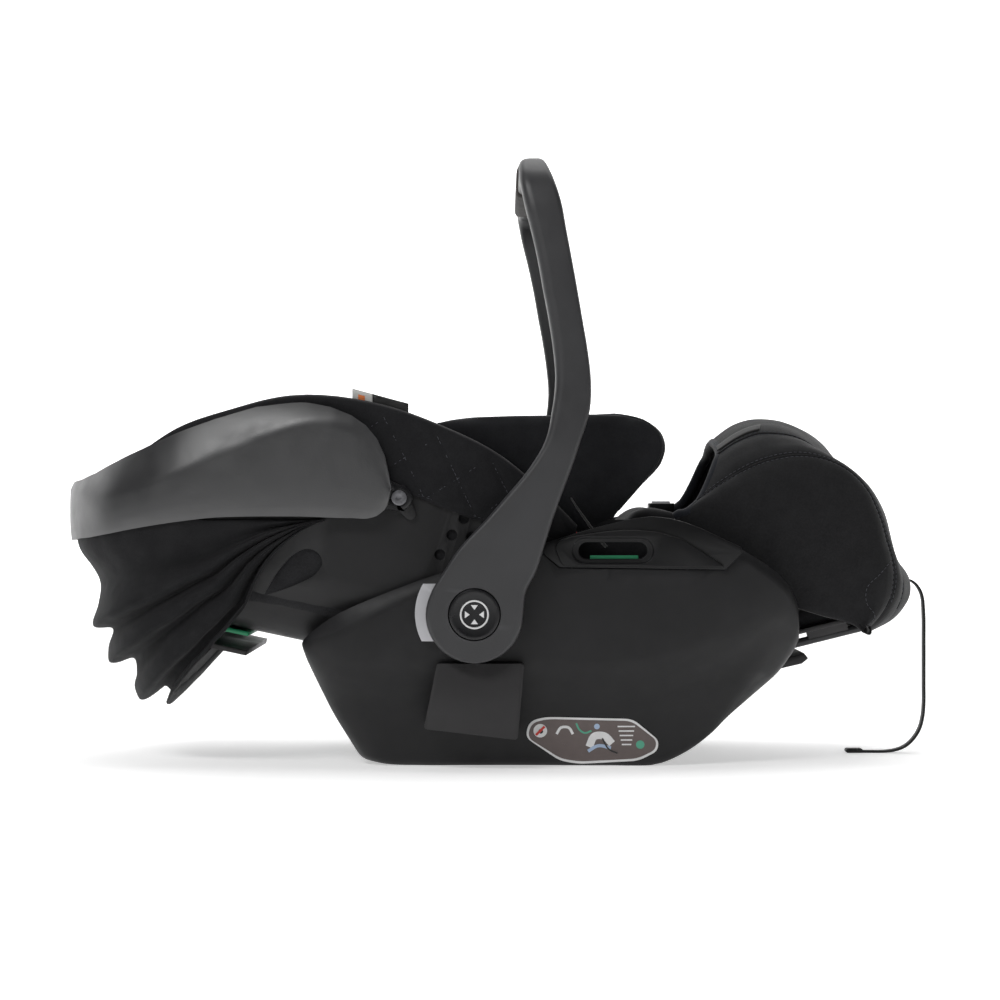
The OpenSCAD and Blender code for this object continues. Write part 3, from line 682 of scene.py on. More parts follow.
def build_adjuster_strap():
    """Flat webbing out of the boot's toe, down to the floor and back along it, ending in a sewn fold."""
    route = by_index(STRAP_ROUTE, 3)
    tangent = directions(route)
    normal = np.stack([-tangent[:, 1], tangent[:, 0]], axis=1)
    w, t = STRAP_WIDTH / 2, STRAP_THICK / 2
    section = [(w, -t * 0.4), (w, t * 0.4), (w * 0.93, t), (w * 0.4, t * 1.1), (-w * 0.4, t * 1.1),
               (-w * 0.93, t), (-w, t * 0.4), (-w, -t * 0.4), (-w * 0.93, -t), (-w * 0.4, -t * 1.1),
               (w * 0.4, -t * 1.1), (w * 0.93, -t)]
    rows = [[(q[0] + n[0] * d, y, max(q[1] + n[1] * d, 0.1)) for y, d in section]
            for q, n in zip(route, normal)]
    strap = surface("adjuster_webbing", rows, WEBBING, wrap_columns=True, caps=True)
    x = STRAP_ROUTE[-1][0]
    fold = fillet([(x - 15, 0.2), (x + 1, 0.2), (x + 1, 4.2), (x - 15, 4.2)], [2, 1.2, 1.2, 2], 4,
                  closed=True)
    rows = [[(px, y, pz) for px, pz in fold] for y in (-w - 0.4, -w, w, w + 0.4)]
    end = surface("strap_fold", rows, WEBBING, wrap_columns=True, caps=True)
    sewn = joined("strap_sewing", [
        stitches("s", [(x - k, -w + 1.5, 4.3), (x - k, w - 1.5, 4.3)], THREAD) for k in (2, 5, 12)])
    place(strap, "leg_rest", "webbing", "adjuster_strap")
    place(end, "leg_rest", "webbing", "strap_end")
    place(sewn, "leg_rest", "webbing")


build_adjuster_strap()


# ---------------------------------------------------------------- base
# Rows run around the near half, from the head end's middle to the foot end's middle
BASE_ROWS = {
    "floor": [(-118, 0, 3), (-118, -92, 3), (-113, -137, 3), (-99, -148, 1), (-70, -151, 0),
              (-20, -152, 0), (50, -152, 0), (110, -152, 0), (163, -150, 2), (188, -145, 14), (206, -139, 28),
              (214, -118, 36), (216, -80, 36), (216, 0, 36)],
    "skirt": [(-146, 0, 48), (-146, -100, 48), (-139, -150, 50), (-124, -163, 60), (-85, -163, 53),
              (-22, -163, 52), (50, -163, 52), (110, -163, 52.5), (164, -162, 63), (208, -160, 80),
              (252, -154, 95), (268, -130, 86), (270, -84, 86), (270, 0, 86)],
    "shoulder": [(-162, 0, 80), (-162, -104, 80), (-157, -160, 86), (-136, -183, 88), (-88, -188, 86),
                 (-25, -189, 86), (50, -189, 86), (110, -189, 84), (164, -188, 92), (213, -184, 110),
                 (270, -162, 134), (282, -142, 113), (278, -88, 96), (277, 0, 96)],
    "belly": [(-165, 0, 92), (-165, -106, 92), (-165, -162, 102), (-135, -186, 106), (-87, -191, 122),
              (-28, -191.5, 140), (49, -191.5, 146), (108, -191.5, 152), (158, -191, 156), (217, -187, 156),
              (276, -160, 142), (285, -147, 123), (279, -89, 99), (278, 0, 99)],
    "crease": [(-166, 0, 98), (-166, -107, 98), (-169, -160, 110), (-134, -187, 123), (-86, -191, 151.5),
               (-30, -191, 177), (48, -191, 198), (105, -191, 214), (152, -190.5, 222), (221, -185, 197),
               (281, -158, 147), (286, -149, 128), (279, -89, 100), (278, 0, 100)],
    "rim": [(-166, 0, 103), (-167, -108, 103), (-171, -157, 116), (-145, -180, 137), (-91, -186, 161.5),
            (-33, -187, 182), (48, -187, 205), (105, -187, 222), (150, -187, 230), (221, -181, 205),
            (283, -155, 152), (286, -149, 132), (279, -89, 102), (278, 0, 102)],
}
BASE_ROUNDING = (9, 12, 16, 60, 5, 0)  # at each named row, across the rows


def base_rows():
    rows = {name: by_index(points, 5) for name, points in BASE_ROWS.items()}
    middle = np.array((20.0, 0, 0))
    inner = middle + (rows["floor"] - middle) * (0.6, 0.6, 0)
    centre = np.broadcast_to(middle, inner.shape)
    return [centre, inner] + [rows[name] for name in BASE_ROWS]


GUIDE_SEAM = [(46, 198), (64, 183), (215, 181), (231, 197)]
LENS = [(59, 203), (64, 209), (78, 212.5), (95, 215), (115, 217.5), (133, 218), (154, 216), (177, 209),
        (199, 195), (216, 183.5), (190, 183.5), (130, 184.5), (66, 185)]
SLOT_MIDDLE = (112.5, 199)
SLOT_SIZE = (62, 15)


def stadium(middle, size):
    """A slot's outline with round ends."""
    r = size[1] / 2
    half = size[0] / 2 - r
    ends = []
    for sign, start in ((1, -90), (-1, 90)):
        for a in np.linspace(start, start + 180, 9):
            a = math.radians(a)
            ends.append((middle[0] + sign * half + r * math.cos(a), middle[1] + r * math.sin(a)))
    return ends


def build_base():
    levels = base_rows()
    around = len(levels[0])
    radii = (0, 0) + BASE_ROUNDING
    near = [fillet([level[i] for level in levels], radii, 5) for i in range(around)]
    ring = near + [row * (1, -1, 1) for row in near[-2:0:-1]]
    skin = surface("base_shell_moulding", ring, SHELL, wrap_rows=True)
    tree = tree_of(skin)
    shell = thicken(skin, 4)
    top = [(x, z) for x, _, z in by_index(BASE_ROWS["rim"], 5) if 47 < x < 229 and z > 150]
    for side in SIDES:
        window = GUIDE_SEAM + [(231, 260), (46, 260)]
        cut(shell, prism("c", window, side * 150, side * 215, SHELL), careful=True)
    bars = [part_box("lock_bars")[k].x / MM for k in (0, 1)]
    for x in (bars[0] + 6, bars[1] - 6):
        opening = fillet([(x - 26, -50), (x + 26, -50), (x + 26, 50), (x - 26, 50)], [5] * 4, 3, closed=True)
        rows = [[(px, py, z) for px, py in opening] for z in (-5, 12)]
        cut(shell, surface("c", rows, SHELL, wrap_columns=True, caps=True), careful=True)
    cut(shell, prism("c", [(238, 74), (320, 74), (320, 140), (238, 140)], -54, 54, SHELL), careful=True)
    soften(shell, 1.0, 2, 40)
    place(shell, "base", "shell", "base_shell")
    for side, word in zip(SIDES, ("left", "right")):
        build_belt_guide(side, word, top)
    return tree


def build_belt_guide(side, word, top):
    """Panel let into the base's side, with a raised lens around the belt slot."""
    outline = [(46.6, 198.2), (64.2, 183.6), (214.8, 181.6), (230.3, 197)]
    edge = sorted(top, reverse=True)
    panel = prism("panel", outline + [(229.5, edge[0][1] - 3)] + edge[1:-1] + [(47, edge[-1][1] - 1)],
                  side * 186, side * 190.6, GUIDE)
    lens = prism("lens", evenly(fillet(LENS, [4] * len(LENS), 3, closed=True), 90, closed=True),
                 side * 189, side * 195, GUIDE)
    recess = prism("c", stadium(SLOT_MIDDLE, (SLOT_SIZE[0] + 12, SLOT_SIZE[1] + 8)), side * 192.6, side * 200,
                   GUIDE)
    cut(lens, recess)
    for part in (panel, lens):
        cut(part, prism("c", stadium(SLOT_MIDDLE, SLOT_SIZE), side * 150, side * 230, GUIDE))
    soften(lens, 2.2, 4, 30)
    soften(panel, 0.8, 2, 30)
    guide = joined(f"belt_guide_panel_{word}", [panel, lens])
    sharpen(guide, 35)
    place(guide, "base", "belt_guide", f"belt_guide_{word}")


BASE_TREE = build_base()


# ---------------------------------------------------------------- handle
ARM_EDGES = [  # height, left and right edge
    (164, -51, 34), (177, -43, 41), (200, -28, 49), (227, -3, 57.5), (248, 15, 65), (272, 35, 74),
    (299, 51, 83), (326, 57, 91), (354, 60, 92), (381, 58, 89), (408, 54, 84.5), (435, 49, 80),
    (463, 44, 75), (490, 38, 70)]
# Corner and crossbar: outer left and right, inner left and right, then the outer and inner point in YZ
ARM_TOP = [
    (31.5, 65, 33, 67, (-206.5, 517), (-184, 509)),
    (27, 57, 30, 64, (-197, 541), (-176, 524)),
    (26.5, 51, 28, 62, (-180, 555), (-164, 530.5)),
    (27.5, 48.5, 27, 60.5, (-156, 559.5), (-148, 531)),
    (28, 48, 27, 60, (-100, 560), (-100, 531)),
    (28, 48, 27, 60, (-40, 560), (-40, 531)),
    (28, 48, 27, 60, (0, 560), (0, 531))]
HUB_RADIUS = 44


def arm_depth(z):
    """How far out the arm's outer and inner faces are at a height."""
    outer = np.interp(z, (95, 300, 420, 520), (222, 222, 215, 207))
    return outer, outer - 21.5


def handle_section(left, right, left_in, right_in, outer, inner, chamfer):
    corners = [(left_in, *inner), (left, *outer), (right, *outer), (right_in, *inner)]
    return fillet(corners, [5, chamfer, 4.5, 5], 5, closed=True)


def build_handle():
    sections = []
    for a in (86, 76, 64, 50, 34, 17, 0):
        a = math.radians(a)
        z = HUB_Z - HUB_RADIUS * math.sin(a)
        half = HUB_RADIUS * math.cos(a)
        sections.append((HUB_X - half, HUB_X + half, z, 4.5))
    for z, left, right in ARM_EDGES:
        sections.append((left, right, z, float(np.interp(z, (160, 300, 420), (4.5, 7, 11)))))
    rows = []
    for left, right, z, chamfer in sections:
        outer, inner = arm_depth(z)
        rows.append(handle_section(left, right, left, right, (-outer, z), (-inner, z), chamfer))
    for left, right, left_in, right_in, outer, inner in ARM_TOP:
        rows.append(handle_section(left, right, left_in, right_in, outer, inner, 10))
    half = np.stack([by_index(np.array(rows)[:, k], 4) for k in range(len(rows[0]))], axis=1)
    handle = surface("handle_moulding", both_sides(half), HANDLE, wrap_columns=True, caps=True)
    # Room for the collar's boss inside, the gear's shaft, and the button outside
    recess = [(0, 190), (30.4, 190), (30.4, 205.6), (17.6, 205.6), (17.6, 208.6), (23.9, 208.6),
              (23.9, 240), (0, 240)]
    for side in SIDES:
        cut(handle, lathe("c", recess, HUB_X, HUB_Z, HANDLE, side))
    flatten(soften(handle, 0.7, 2, 50))
    place(handle, "handle", "handle", "handle_frame")

    sleeve = []
    for y in np.linspace(-104, 104, 40):
        swell = 2.4 - 1.2 * max(0, (abs(y) - 99) / 5)
        corners = [(27 - swell, y, 531 - swell), (28 - swell, y, 560 + swell),
                   (48 + swell * 0.6, y, 560 + swell), (60 + swell, y, 531 - swell)]
        sleeve.append(fillet(corners, [6, 12, 7, 7], 5, closed=True))
    grip = surface("handle_grip_sleeve", sleeve, GRIP, wrap_columns=True, caps=True)
    place(soften(grip, 0.8, 2, 50), "handle", "grip", "handle_grip")


def ring_mesh(name, r0, r1, d, thick, x, z, side, material):
    return lathe(name, [(r0, d), (r0, d + thick), (r1, d + thick), (r1, d)], x, z, material, side)


def build_buttons():
    """Round release buttons with a plain ring and arrow heads as their mark."""
    for side, word in zip(SIDES, ("left", "right")):
        profile = [(0, 214), (23.3, 214), (23.3, 221.6), (22.7, 222.8), (21.2, 223.3), (19.4, 222.9),
                   (14, 222.6), (0, 222.5)]
        button = sharpen(lathe(f"release_button_{word}", profile, HUB_X, HUB_Z, BUTTON, side, 72), 40)
        place(button, f"{word}_button", "button", f"handle_button_{word}")
        marks = [ring_mesh("m", 11.5, 13.1, 222.55, 0.35, HUB_X, HUB_Z, side, WHITE)]
        for turn in (0, 90, 180, 270):
            a = math.radians(turn)
            points = [(4.2, 0), (8.6, 3.2), (8.6, -3.2)]
            outline = [(HUB_X + p * math.cos(a) - q * math.sin(a), HUB_Z + p * math.sin(a) + q * math.cos(a))
                       for p, q in points]
            marks.append(prism("m", outline, side * 222.4, side * 222.9, WHITE))
        mark = joined(f"release_mark_{word}", marks)
        place(mark, f"{word}_button", "button")


build_handle()
build_buttons()


# ---------------------------------------------------------------- backrest, in its own tilted frame
RECLINE_X, _, RECLINE_Z = (v / MM for v in joints["backrest_recline"]["pos_m"])
LIE_ANGLE = math.radians(12)
# Rim height and half width from the foot end to the head end's middle
BACK_RIM = [(25, 172, 76), (-20, 172, 105), (-57, 172, 124), (-118, 172, 140), (-172, 172, 147),
            (-256, 172, 138), (-310, 171, 113), (-347, 160, 92), (-380, 132, 62), (-402, 92, 36),
            (-414, 46, 22), (-418, 0, 18)]


def laid(points):
    """From the backrest's own frame to where it lies."""
    p = np.array(points, float)
    c, s = math.cos(LIE_ANGLE), math.sin(LIE_ANGLE)
    x = RECLINE_X + p[..., 0] * c + p[..., 2] * s
    z = RECLINE_Z - p[..., 0] * s + p[..., 2] * c
    return np.stack([x, p[..., 1], z], axis=-1)


def back_levels():
    """Rows of the backrest's outside: spine, bottom edge, side and rim, over the near half."""
    rim = by_index([(x, -y, z) for x, y, z in BACK_RIM], 6)
    side = rim.copy()
    side[:, 2] = np.minimum(-40, rim[:, 2] - 40)
    low = rim * (1, 0.79, 1)
    low[:, 0] = np.maximum(rim[:, 0] + 4, -368)
    low[:, 2] = -80
    spine = low * (1, 0, 1)
    spine[:, 0] = np.maximum(low[:, 0], -340)
    return spine, low, side, rim


def build_back_shell():
    spine, low, side, rim = back_levels()
    rim = rim - (0, 0, 3)
    rows = [fillet([spine[i], low[i], side[i], rim[i]], [0, 26, 45, 0], 7) for i in range(len(rim))]
    shell = thicken(surface("backrest_moulding", both_sides(laid(rows)), BACK), 4)
    slot = evenly(by_index([(-207, 157), (-188, 186), (-176, 197), (-165, 200.5), (-155, 195), (-152.5, 187),
                            (-157, 179), (-176, 168), (-207, 157)], 5)[:-1], 44, closed=True)
    for y0, y1 in ((-150, -185), (150, 185)):
        cut(shell, prism("c", slot, y0, y1, BACK))
        for x, z in ((-23, 228), (-34, 213), (-16, 211), (-45, 195), (-8, 195)):
            cut(shell, prism("c", circle(x, z, 5, 20), y0, y1, BACK))
    soften(shell, 1.2, 3, 40)
    place(shell, "backrest", "inner_plastic", "backrest_shell")


QUILT_PITCH = 52
QUILT_SLOPE = 0.9
QUILT_HEIGHT = 60


def quilt_depth(run, height):
    """How far the quilting swells between its two sets of slanting seams."""
    one = (run - height * QUILT_SLOPE) / QUILT_PITCH
    two = (run - (QUILT_HEIGHT - height) * QUILT_SLOPE) / QUILT_PITCH
    near = min(abs(one - round(one)), abs(two - round(two))) * QUILT_PITCH
    return 1.9 * (1 - math.exp(-near / 3.0)) - 0.9


# The skirt's hem, in the backrest's own frame
SKIRT = [(30, 62), (-53, 63), (-80, 65.5), (-145, 77), (-200, 82), (-256, 78), (-310, 60), (-347, 38),
         (-380, 8), (-402, -14), (-414, -26), (-418, -30)]


def build_rim_cover():
    """Quilted cloth over the rim: a skirt outside, a rolled top and a flap inside."""
    rim = evenly(back_levels()[-1], 150)
    low_z = np.interp(-rim[:, 0], [-p[0] for p in SKIRT], [p[1] for p in SKIRT])
    tangent = directions(rim[:, :2])
    outward = np.stack([tangent[:, 1], -tangent[:, 0]], axis=1)
    if outward[0][1] > 0:
        outward = -outward
    rows = []
    run = np.concatenate([[0], np.cumsum(np.linalg.norm(np.diff(rim, axis=0), axis=1))])
    for i, point in enumerate(rim):
        n = np.array((*outward[i], 0))
        top = point[2]
        low = low_z[i]
        column = []
        for k in range(27):
            z = low + (top - 5 - low) * k / 26
            column.append(point * (1, 1, 0) + (0, 0, z) + n * (3.2 + quilt_depth(run[i], z - low)))
        for a in np.linspace(0, math.pi, 15)[1:-1]:
            across = math.copysign(abs(math.cos(a)) ** 0.7, math.cos(a))
            height = top - 4 + 7 * math.sin(a) ** 0.4
            column.append(point * (1, 1, 0) + n * (-8.5 + 12 * across) + (0, 0, height))
        for k in range(1, 13):
            z = top - 6 - 42 * k / 12
            column.append(point * (1, 1, 0) + n * (-20 + 0.4 * math.sin(k)) + (0, 0, z))
        rows.append(column)
    cover = surface("quilted_rim_cover", both_sides(laid(rows)), QUILT)
    place(thicken(cover, 1.0), "backrest", "rim_fabric", "rim_cover")
    sewing = quilt_sewing(tree_of(cover), rim, low_z, run)
    place(joined("rim_cover_stitching", sewing), "backrest", "rim_fabric")


def on_cloth(cloth, line):
    """The line's points moved onto the cloth's outer face."""
    out = []
    for point in line:
        spot = cloth.find_nearest(Vector(point) * MM)[0]
        out.append(np.array(spot / MM + Vector((0, math.copysign(0.25, point[1]), 0))))
    return np.array(out)


def quilt_sewing(cloth, rim, low_z, run):
    """Stitches along the quilting's slanting seams and above the hem, on both sides."""
    sewing = []
    for way in (-1, 1):
        for start in np.arange(-2 * QUILT_PITCH, 520, QUILT_PITCH):
            points = []
            for h in np.linspace(3, QUILT_HEIGHT, 16):
                s = start + (h if way > 0 else QUILT_HEIGHT - h) * QUILT_SLOPE
                if not 6 < s < 300:
                    continue
                x = float(np.interp(s, run, rim[:, 0]))
                top = float(np.interp(s, run, rim[:, 2]))
                low = float(np.interp(s, run, low_z))
                if low + h < top - 6:
                    points.append((x, -np.interp(s, run, -rim[:, 1]) - 2.4, low + h))
            if len(points) > 3:
                line = laid(points)
                for sign in (1, -1):
                    sewing.append(stitches("s", on_cloth(cloth, line * (1, sign, 1)), THREAD, radius=0.4))
    hem = laid([(x, y - 3.6, z + 3) for (x, y, _), z in zip(rim[:90], low_z[:90])])
    for sign in (1, -1):
        sewing.append(stitches("s", hem * (1, sign, 1), THREAD, radius=0.25))
    return sewing


build_back_shell()
build_rim_cover()


# ---------------------------------------------------------------- visor
# Its plan over the near half, then at each of those points: bottom, top, how far the top leans in, and the
# ridge's height as a share
VISOR_PLAN = [(-89, -189), (-91, -189.2), (-95, -189.4), (-102, -189.6), (-112, -189.8), (-125, -190),
              (-145, -190), (-172, -189.5), (-213, -188), (-250, -185.5), (-290, -180), (-325, -166),
              (-352, -146), (-375, -115), (-392, -78), (-402, -38), (-406, 0)]
VISOR_BOTTOM = (255, 243, 236, 230.5, 228, 228.5, 229, 230, 230, 229, 224.5, 219, 214, 210, 208, 206.5, 206)
VISOR_TOP = (255, 268, 286, 301, 313, 322, 330, 334, 330, 319.5, 306, 292, 281, 270, 264, 262, 261)
VISOR_LEAN = (0, 0.3, 0.6, 1, 2, 3.5, 6, 8.5, 10, 11, 12, 12, 11, 8, 6, 4, 4)
RIDGE_HEIGHT = (0.5, 0.6, 0.7, 0.78, 0.84, 0.86, 0.86, 0.81, 0.72, 0.64, 0.55, 0.5, 0.54, 0.66, 0.8,
                0.88, 0.9)
VISOR_THICK = 3.5


def build_visor():
    """A hard shell band around the head end, with a ridge along its length."""
    plan = by_index(VISOR_PLAN, 6)
    levels = by_index(np.stack([VISOR_BOTTOM, VISOR_TOP, VISOR_LEAN, RIDGE_HEIGHT], axis=1), 6)
    tangent = directions(plan)
    inward = np.stack([tangent[:, 1], -tangent[:, 0]], axis=1)
    inward *= np.sign(inward[0][1])
    rows = []
    for (x, y), (low, high, lean, ridge), (nx, ny) in zip(plan, levels, inward):
        middle = low + (high - low) * ridge
        profile = [(1.8, low), (0.4, low + (middle - low) * 0.25), (0, low + (middle - low) * 0.6),
                   (0.6, middle), (lean, high)]
        corners = [(x + nx * d, y + ny * d, z) for d, z in profile]
        rows.append(fillet(corners, [0, 20, 20, 5, 0], 5))
    visor = thicken(surface("visor_shell", both_sides(rows), VISOR), VISOR_THICK)
    soften(visor, 1.1, 3, 45)
    place(visor, "hood", "visor", "visor")


build_visor()


# ---------------------------------------------------------------- folded hood cloth
HOOD_PIVOT = (-150, 230)
HOOD_FOLDS = [  # angle below the head end's direction, reach from the pivot, how far out from the middle
    (0, 249, 180), (6, 246, 185.5), (15, 232, 177.5), (20, 241, 187), (23.5, 252, 186), (26, 236, 177.5),
    (29, 247, 187), (32, 254, 186.5), (34.5, 232, 177), (37.5, 238, 185), (40, 249, 187), (42.5, 252, 185),
    (44.5, 226, 175), (46.5, 226, 178), (47.5, 236, 184), (46.8, 230, 178), (44.5, 205, 170)]


def hood_point(fold, along):
    """A point on one fold line: along runs from 0 at the pivot to 1 at the middle of the head end."""
    angle, reach, out = fold
    r = reach * math.sin(along * math.pi / 2) ** 0.9
    share = r / reach
    y = -out * max(0.0, 1 - share ** 5) ** 0.46
    droop = 10 * share ** 3 * math.sin(math.radians(angle) * 2)
    a = math.radians(angle)
    gather = 0.35 + 0.65 * min(1, share * 2.2)
    x = HOOD_PIVOT[0] - r * math.cos(a * gather)
    z = HOOD_PIVOT[1] - r * math.sin(a * gather) - droop * 0.4 - 3
    if angle < 10:  # these folds are tucked in behind the visor
        along_visor = [-px for px, _ in VISOR_PLAN]
        y = max(y, 6 + float(np.interp(-x, along_visor, [py for _, py in VISOR_PLAN])))
    return x, y, z


def build_hood():
    """Stretch cloth gathered at both sides and hanging in loops around the head end."""
    steps = [0.0, 0.03, 0.06] + [k / 36 for k in range(4, 37)]
    rows = []
    for t in steps:
        line = np.array([hood_point(fold, t) for fold in HOOD_FOLDS])
        rows.append(by_index(line, 6))
    rows = np.array(rows)
    wrinkled = rows.copy()
    for i in range(rows.shape[0]):
        grow = min(1, i / 10)
        for j in range(rows.shape[1]):
            x, y, z = rows[i, j]
            n = noise.noise(Vector((x * 0.018, y * 0.010, z * 0.06)) + Vector((3.1, 0, 0)))
            m = noise.noise(Vector((x * 0.05, y * 0.03, z * 0.12)) + Vector((0, 7.7, 0)))
            sideways = -(1.6 * n + 0.6 * m) * grow if abs(y) > 60 else 0
            wrinkled[i, j] += (0, sideways, (1.8 * n + 0.8 * m) * grow)
    cloth = rounder(surface("hood_folds", both_sides(wrinkled), HOOD))
    cloth = thicken(cloth, 1.0, even=False)
    place(cloth, "backrest", "hood_cloth", "hood_fabric", mode="blend")
    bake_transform(cloth)


build_hood()


# ---------------------------------------------------------------- pads
def pad_from(name, node, body, voxel, cap=5.0, pressure=4.0):
    """A CAD pad blown up as cloth inside the space that it holds."""
    piece = from_node(name, node, KNIT)
    soften(piece, 5, 3, 30)
    plump(piece, voxel, pressure, cap)
    place(piece, body, "cushion", node)
    return piece


BOLSTER_SIDE = [(84, 210), (112, 217), (120, 230), (131, 243), (149, 264), (161, 281), (165, 296), (161, 309),
                (149, 319), (128, 325), (95, 327), (59, 327), (6, 326), (-27, 324), (-49, 319), (-59, 312),
                (-45, 304), (-10, 288), (30, 262), (62, 236)]
BOLSTER_FLAP = [(61, 161), (167, 161), (159, 227), (108, 227), (77, 213)]


def build_bolsters():
    outline = evenly(by_index(BOLSTER_SIDE + BOLSTER_SIDE[:1], 5), 80)[:-1]
    centre = np.mean(outline, axis=0)
    for side, word in zip(SIDES, ("left", "right")):
        rows = []
        for out, inset in ((126, 7), (124.5, 2.5), (127, 0.6), (136, 0), (145, 0.6), (147.5, 2.5),
                           (146.5, 7)):
            rows.append([(centre[0] + (x - centre[0]) * (1 - inset / 110), side * out,
                          centre[1] + (z - centre[1]) * (1 - inset / 60)) for x, z in outline])
        pad = surface(f"hip_bolster_pad_{word}", rows, BOLSTER, wrap_columns=True, caps=True)
        plump(pad, 5, 3.5, 3.5)
        place(pad, "base", "bolster", f"hip_bolster_{word}")
        tree = tree_of(pad)
        seam = []
        for k in range(len(outline)):
            x, z = centre + (outline[k] - centre) * 0.95
            y = side_y(tree, x, z, side)
            if y is not None and z > 232:
                seam.append((x, y - 0.1 * side, z))
        order = sorted(seam, key=lambda p: math.atan2(p[2] - centre[1], p[0] - centre[0]))
        place(tube(f"hip_bolster_piping_{word}", order, 1.1, KNIT, 8), "base", "bolster")
        flap = prism(f"hip_bolster_flap_{word}", BOLSTER_FLAP, side * 142.5, side * 148.8, KNIT)
        place(soften(flap, 2.5, 3, 30), "base", "bolster")


build_bolsters()
pad_from("seat_cushion_pad", "seat_cushion", "base", voxel=6)
pad_from("back_cushion_pad", "back_pad", "backrest", voxel=5, cap=4)
pad_from("headrest_cushion", "headrest_pad", "headrest", voxel=5, cap=1.5)
pad_from("leg_rest_cushion", "leg_rest_pad", "leg_rest", voxel=5, cap=2)
lining = pad_from("backrest_lining", "backrest_liner", "backrest", voxel=5, cap=0.4, pressure=1)
# Room in the lining for the headrest's grip to move up
HEADREST_TRACK = [[(x, y, z) for y, z in ((-42, -66), (42, -66), (42, -20), (-42, -20))]
                  for x in (-381, -300)]
cut(lining, surface("c", laid(HEADREST_TRACK), KNIT, wrap_columns=True, caps=True))


# ---------------------------------------------------------------- boot
# Lines along the boot from its opening, over the top and around the toe: distance from the middle, then XZ
BOOT_LINES = [
    (0, [(214, 304), (236, 318), (259, 324), (284, 321), (307, 310), (322, 297), (329, 286), (348, 275),
         (365, 259), (379, 232), (386, 206), (391, 189), (403, 173), (405, 163), (404, 153), (391, 134),
         (365, 118)]),
    (62, [(214, 299), (236, 313), (258, 319), (282, 317), (304, 307), (320, 294), (329, 284), (347, 272),
          (363, 256), (376, 230), (383, 205), (388, 189), (398, 173), (400, 163), (399, 153), (386, 134),
          (361, 118)]),
    (100, [(213, 289), (234, 302), (252, 308), (272, 308), (296, 302), (314, 289), (328, 278), (345, 265),
           (360, 247), (371, 225), (377, 203), (382, 188), (388, 172), (389, 162), (387, 152), (376, 134),
           (356, 119)]),
    (130, [(192, 246), (212, 260), (236, 274), (262, 284), (290, 288), (314, 284), (333, 274), (345, 263),
           (355, 249), (364, 230), (370, 208), (375, 191), (377, 176), (376, 165), (374, 154), (364, 136),
           (350, 121)]),
    (139, [(178, 233), (198, 240), (230, 249), (260, 255), (288, 257), (310, 254), (326, 245), (337, 235),
           (346, 222), (354, 207), (360, 194), (363, 184), (364, 173), (363, 163), (361, 153), (355, 137),
           (345, 123)]),
    (137, [(168, 225), (180, 207), (197, 186), (217, 170), (240, 159), (262, 151), (284, 144), (300, 139),
           (310, 136), (318, 134), (325, 132), (330, 130.5), (334, 129), (337, 128), (340, 126), (343, 124),
           (345, 121)])]
BOOT_STEPS = 12  # points from one of these lines to the next


def boot_grid():
    """The cloth's points over the near half, puffed between its seams and a little crumpled."""
    lines = np.array([[(x, -y, z) for x, z in by_index(points, 4)] for y, points in BOOT_LINES])
    along = lines.shape[1]
    grid = np.array([by_index(lines[:, i], BOOT_STEPS) for i in range(along)])
    normal = np.cross(np.gradient(grid, axis=0), np.gradient(grid, axis=1))
    normal /= np.maximum(np.linalg.norm(normal, axis=2), 1e-9)[..., None]
    if normal[along // 3, 2][2] < 0:
        normal = -normal
    across = np.arange(grid.shape[1]) / BOOT_STEPS
    puff = np.zeros(grid.shape[1])
    for a, b, rise in ((-2, 2, 2.0), (2, 3, 2.6), (3, 5, 3.2)):
        inside = (across >= a) & (across <= b)
        share = (across[inside] - a) / (b - a)
        puff[inside] = rise * np.minimum(1, 3.2 * np.minimum(share, 1 - share)) ** 0.6
    for i in range(along):
        for j in range(grid.shape[1]):
            p = Vector(grid[i, j] * 0.02)
            crumple = noise.noise(p) * 1.5 + noise.noise(p * 3.1) * 0.5
            fade = min(1, i / 5, (along - 1 - i) / 4)
            grid[i, j] += normal[i, j] * (puff[j] * (0.4 + 0.6 * fade) + crumple * fade - 2.0)
    return grid, normal


def build_boot():
    grid, normal = boot_grid()
    full = np.concatenate([grid[:, ::-1], grid[:, 1:] * (1, -1, 1)], axis=1)
    skin = surface("boot_cover", full, BOOT)
    tree = tree_of(skin)
    boot = rounder(thicken(skin, 8, even=False))
    place(boot, "leg_rest", "boot_cloth", "foot_boot")
    trims, seams = [], []
    for s in (1, -1):
        for j in (2 * BOOT_STEPS, 3 * BOOT_STEPS):
            line = (grid[:-6, j] + normal[:-6, j] * 0.5) * (1, s, 1)
            trims.append(tube("t", line, 1.0, BOOT, 6))
            for step in (-1, 1):
                side_line = (grid[1:-7, j + step] + normal[1:-7, j + step] * 0.25) * (1, s, 1)
                seams.append(stitches("s", side_line, THREAD, radius=0.28))
        opening = (grid[0, :56] + normal[0, :56] * -3.5) * (1, s, 1)
        trims.append(tube("t", opening, 4.6, GUSSET, 10))
        cap = []
        for x, z in by_index([(374, 190), (362, 177), (349, 163), (349, 150), (357, 137), (350, 128)], 6):
            y = side_y(tree, x, z, -s)
            if y is not None:
                cap.append((x, y - 0.3 * s, z))
        if len(cap) > 3:
            seams.append(stitches("s", cap, THREAD, radius=0.3))
    place(joined("boot_piping", trims), "leg_rest", "boot_cloth")
    place(joined("boot_stitching", seams), "leg_rest", "boot_cloth")
    tapes = []
    for s in (1, -1):
        patch = (grid[:9, 17:23] + normal[:9, 17:23] * 1.4) * (1, s, 1)
        tapes.append(thicken(surface("t", patch, WEBBING), 1.2))
    tape = joined("closure_strips", tapes)
    place(tape, "leg_rest", "webbing", "closure_tape")


build_boot()


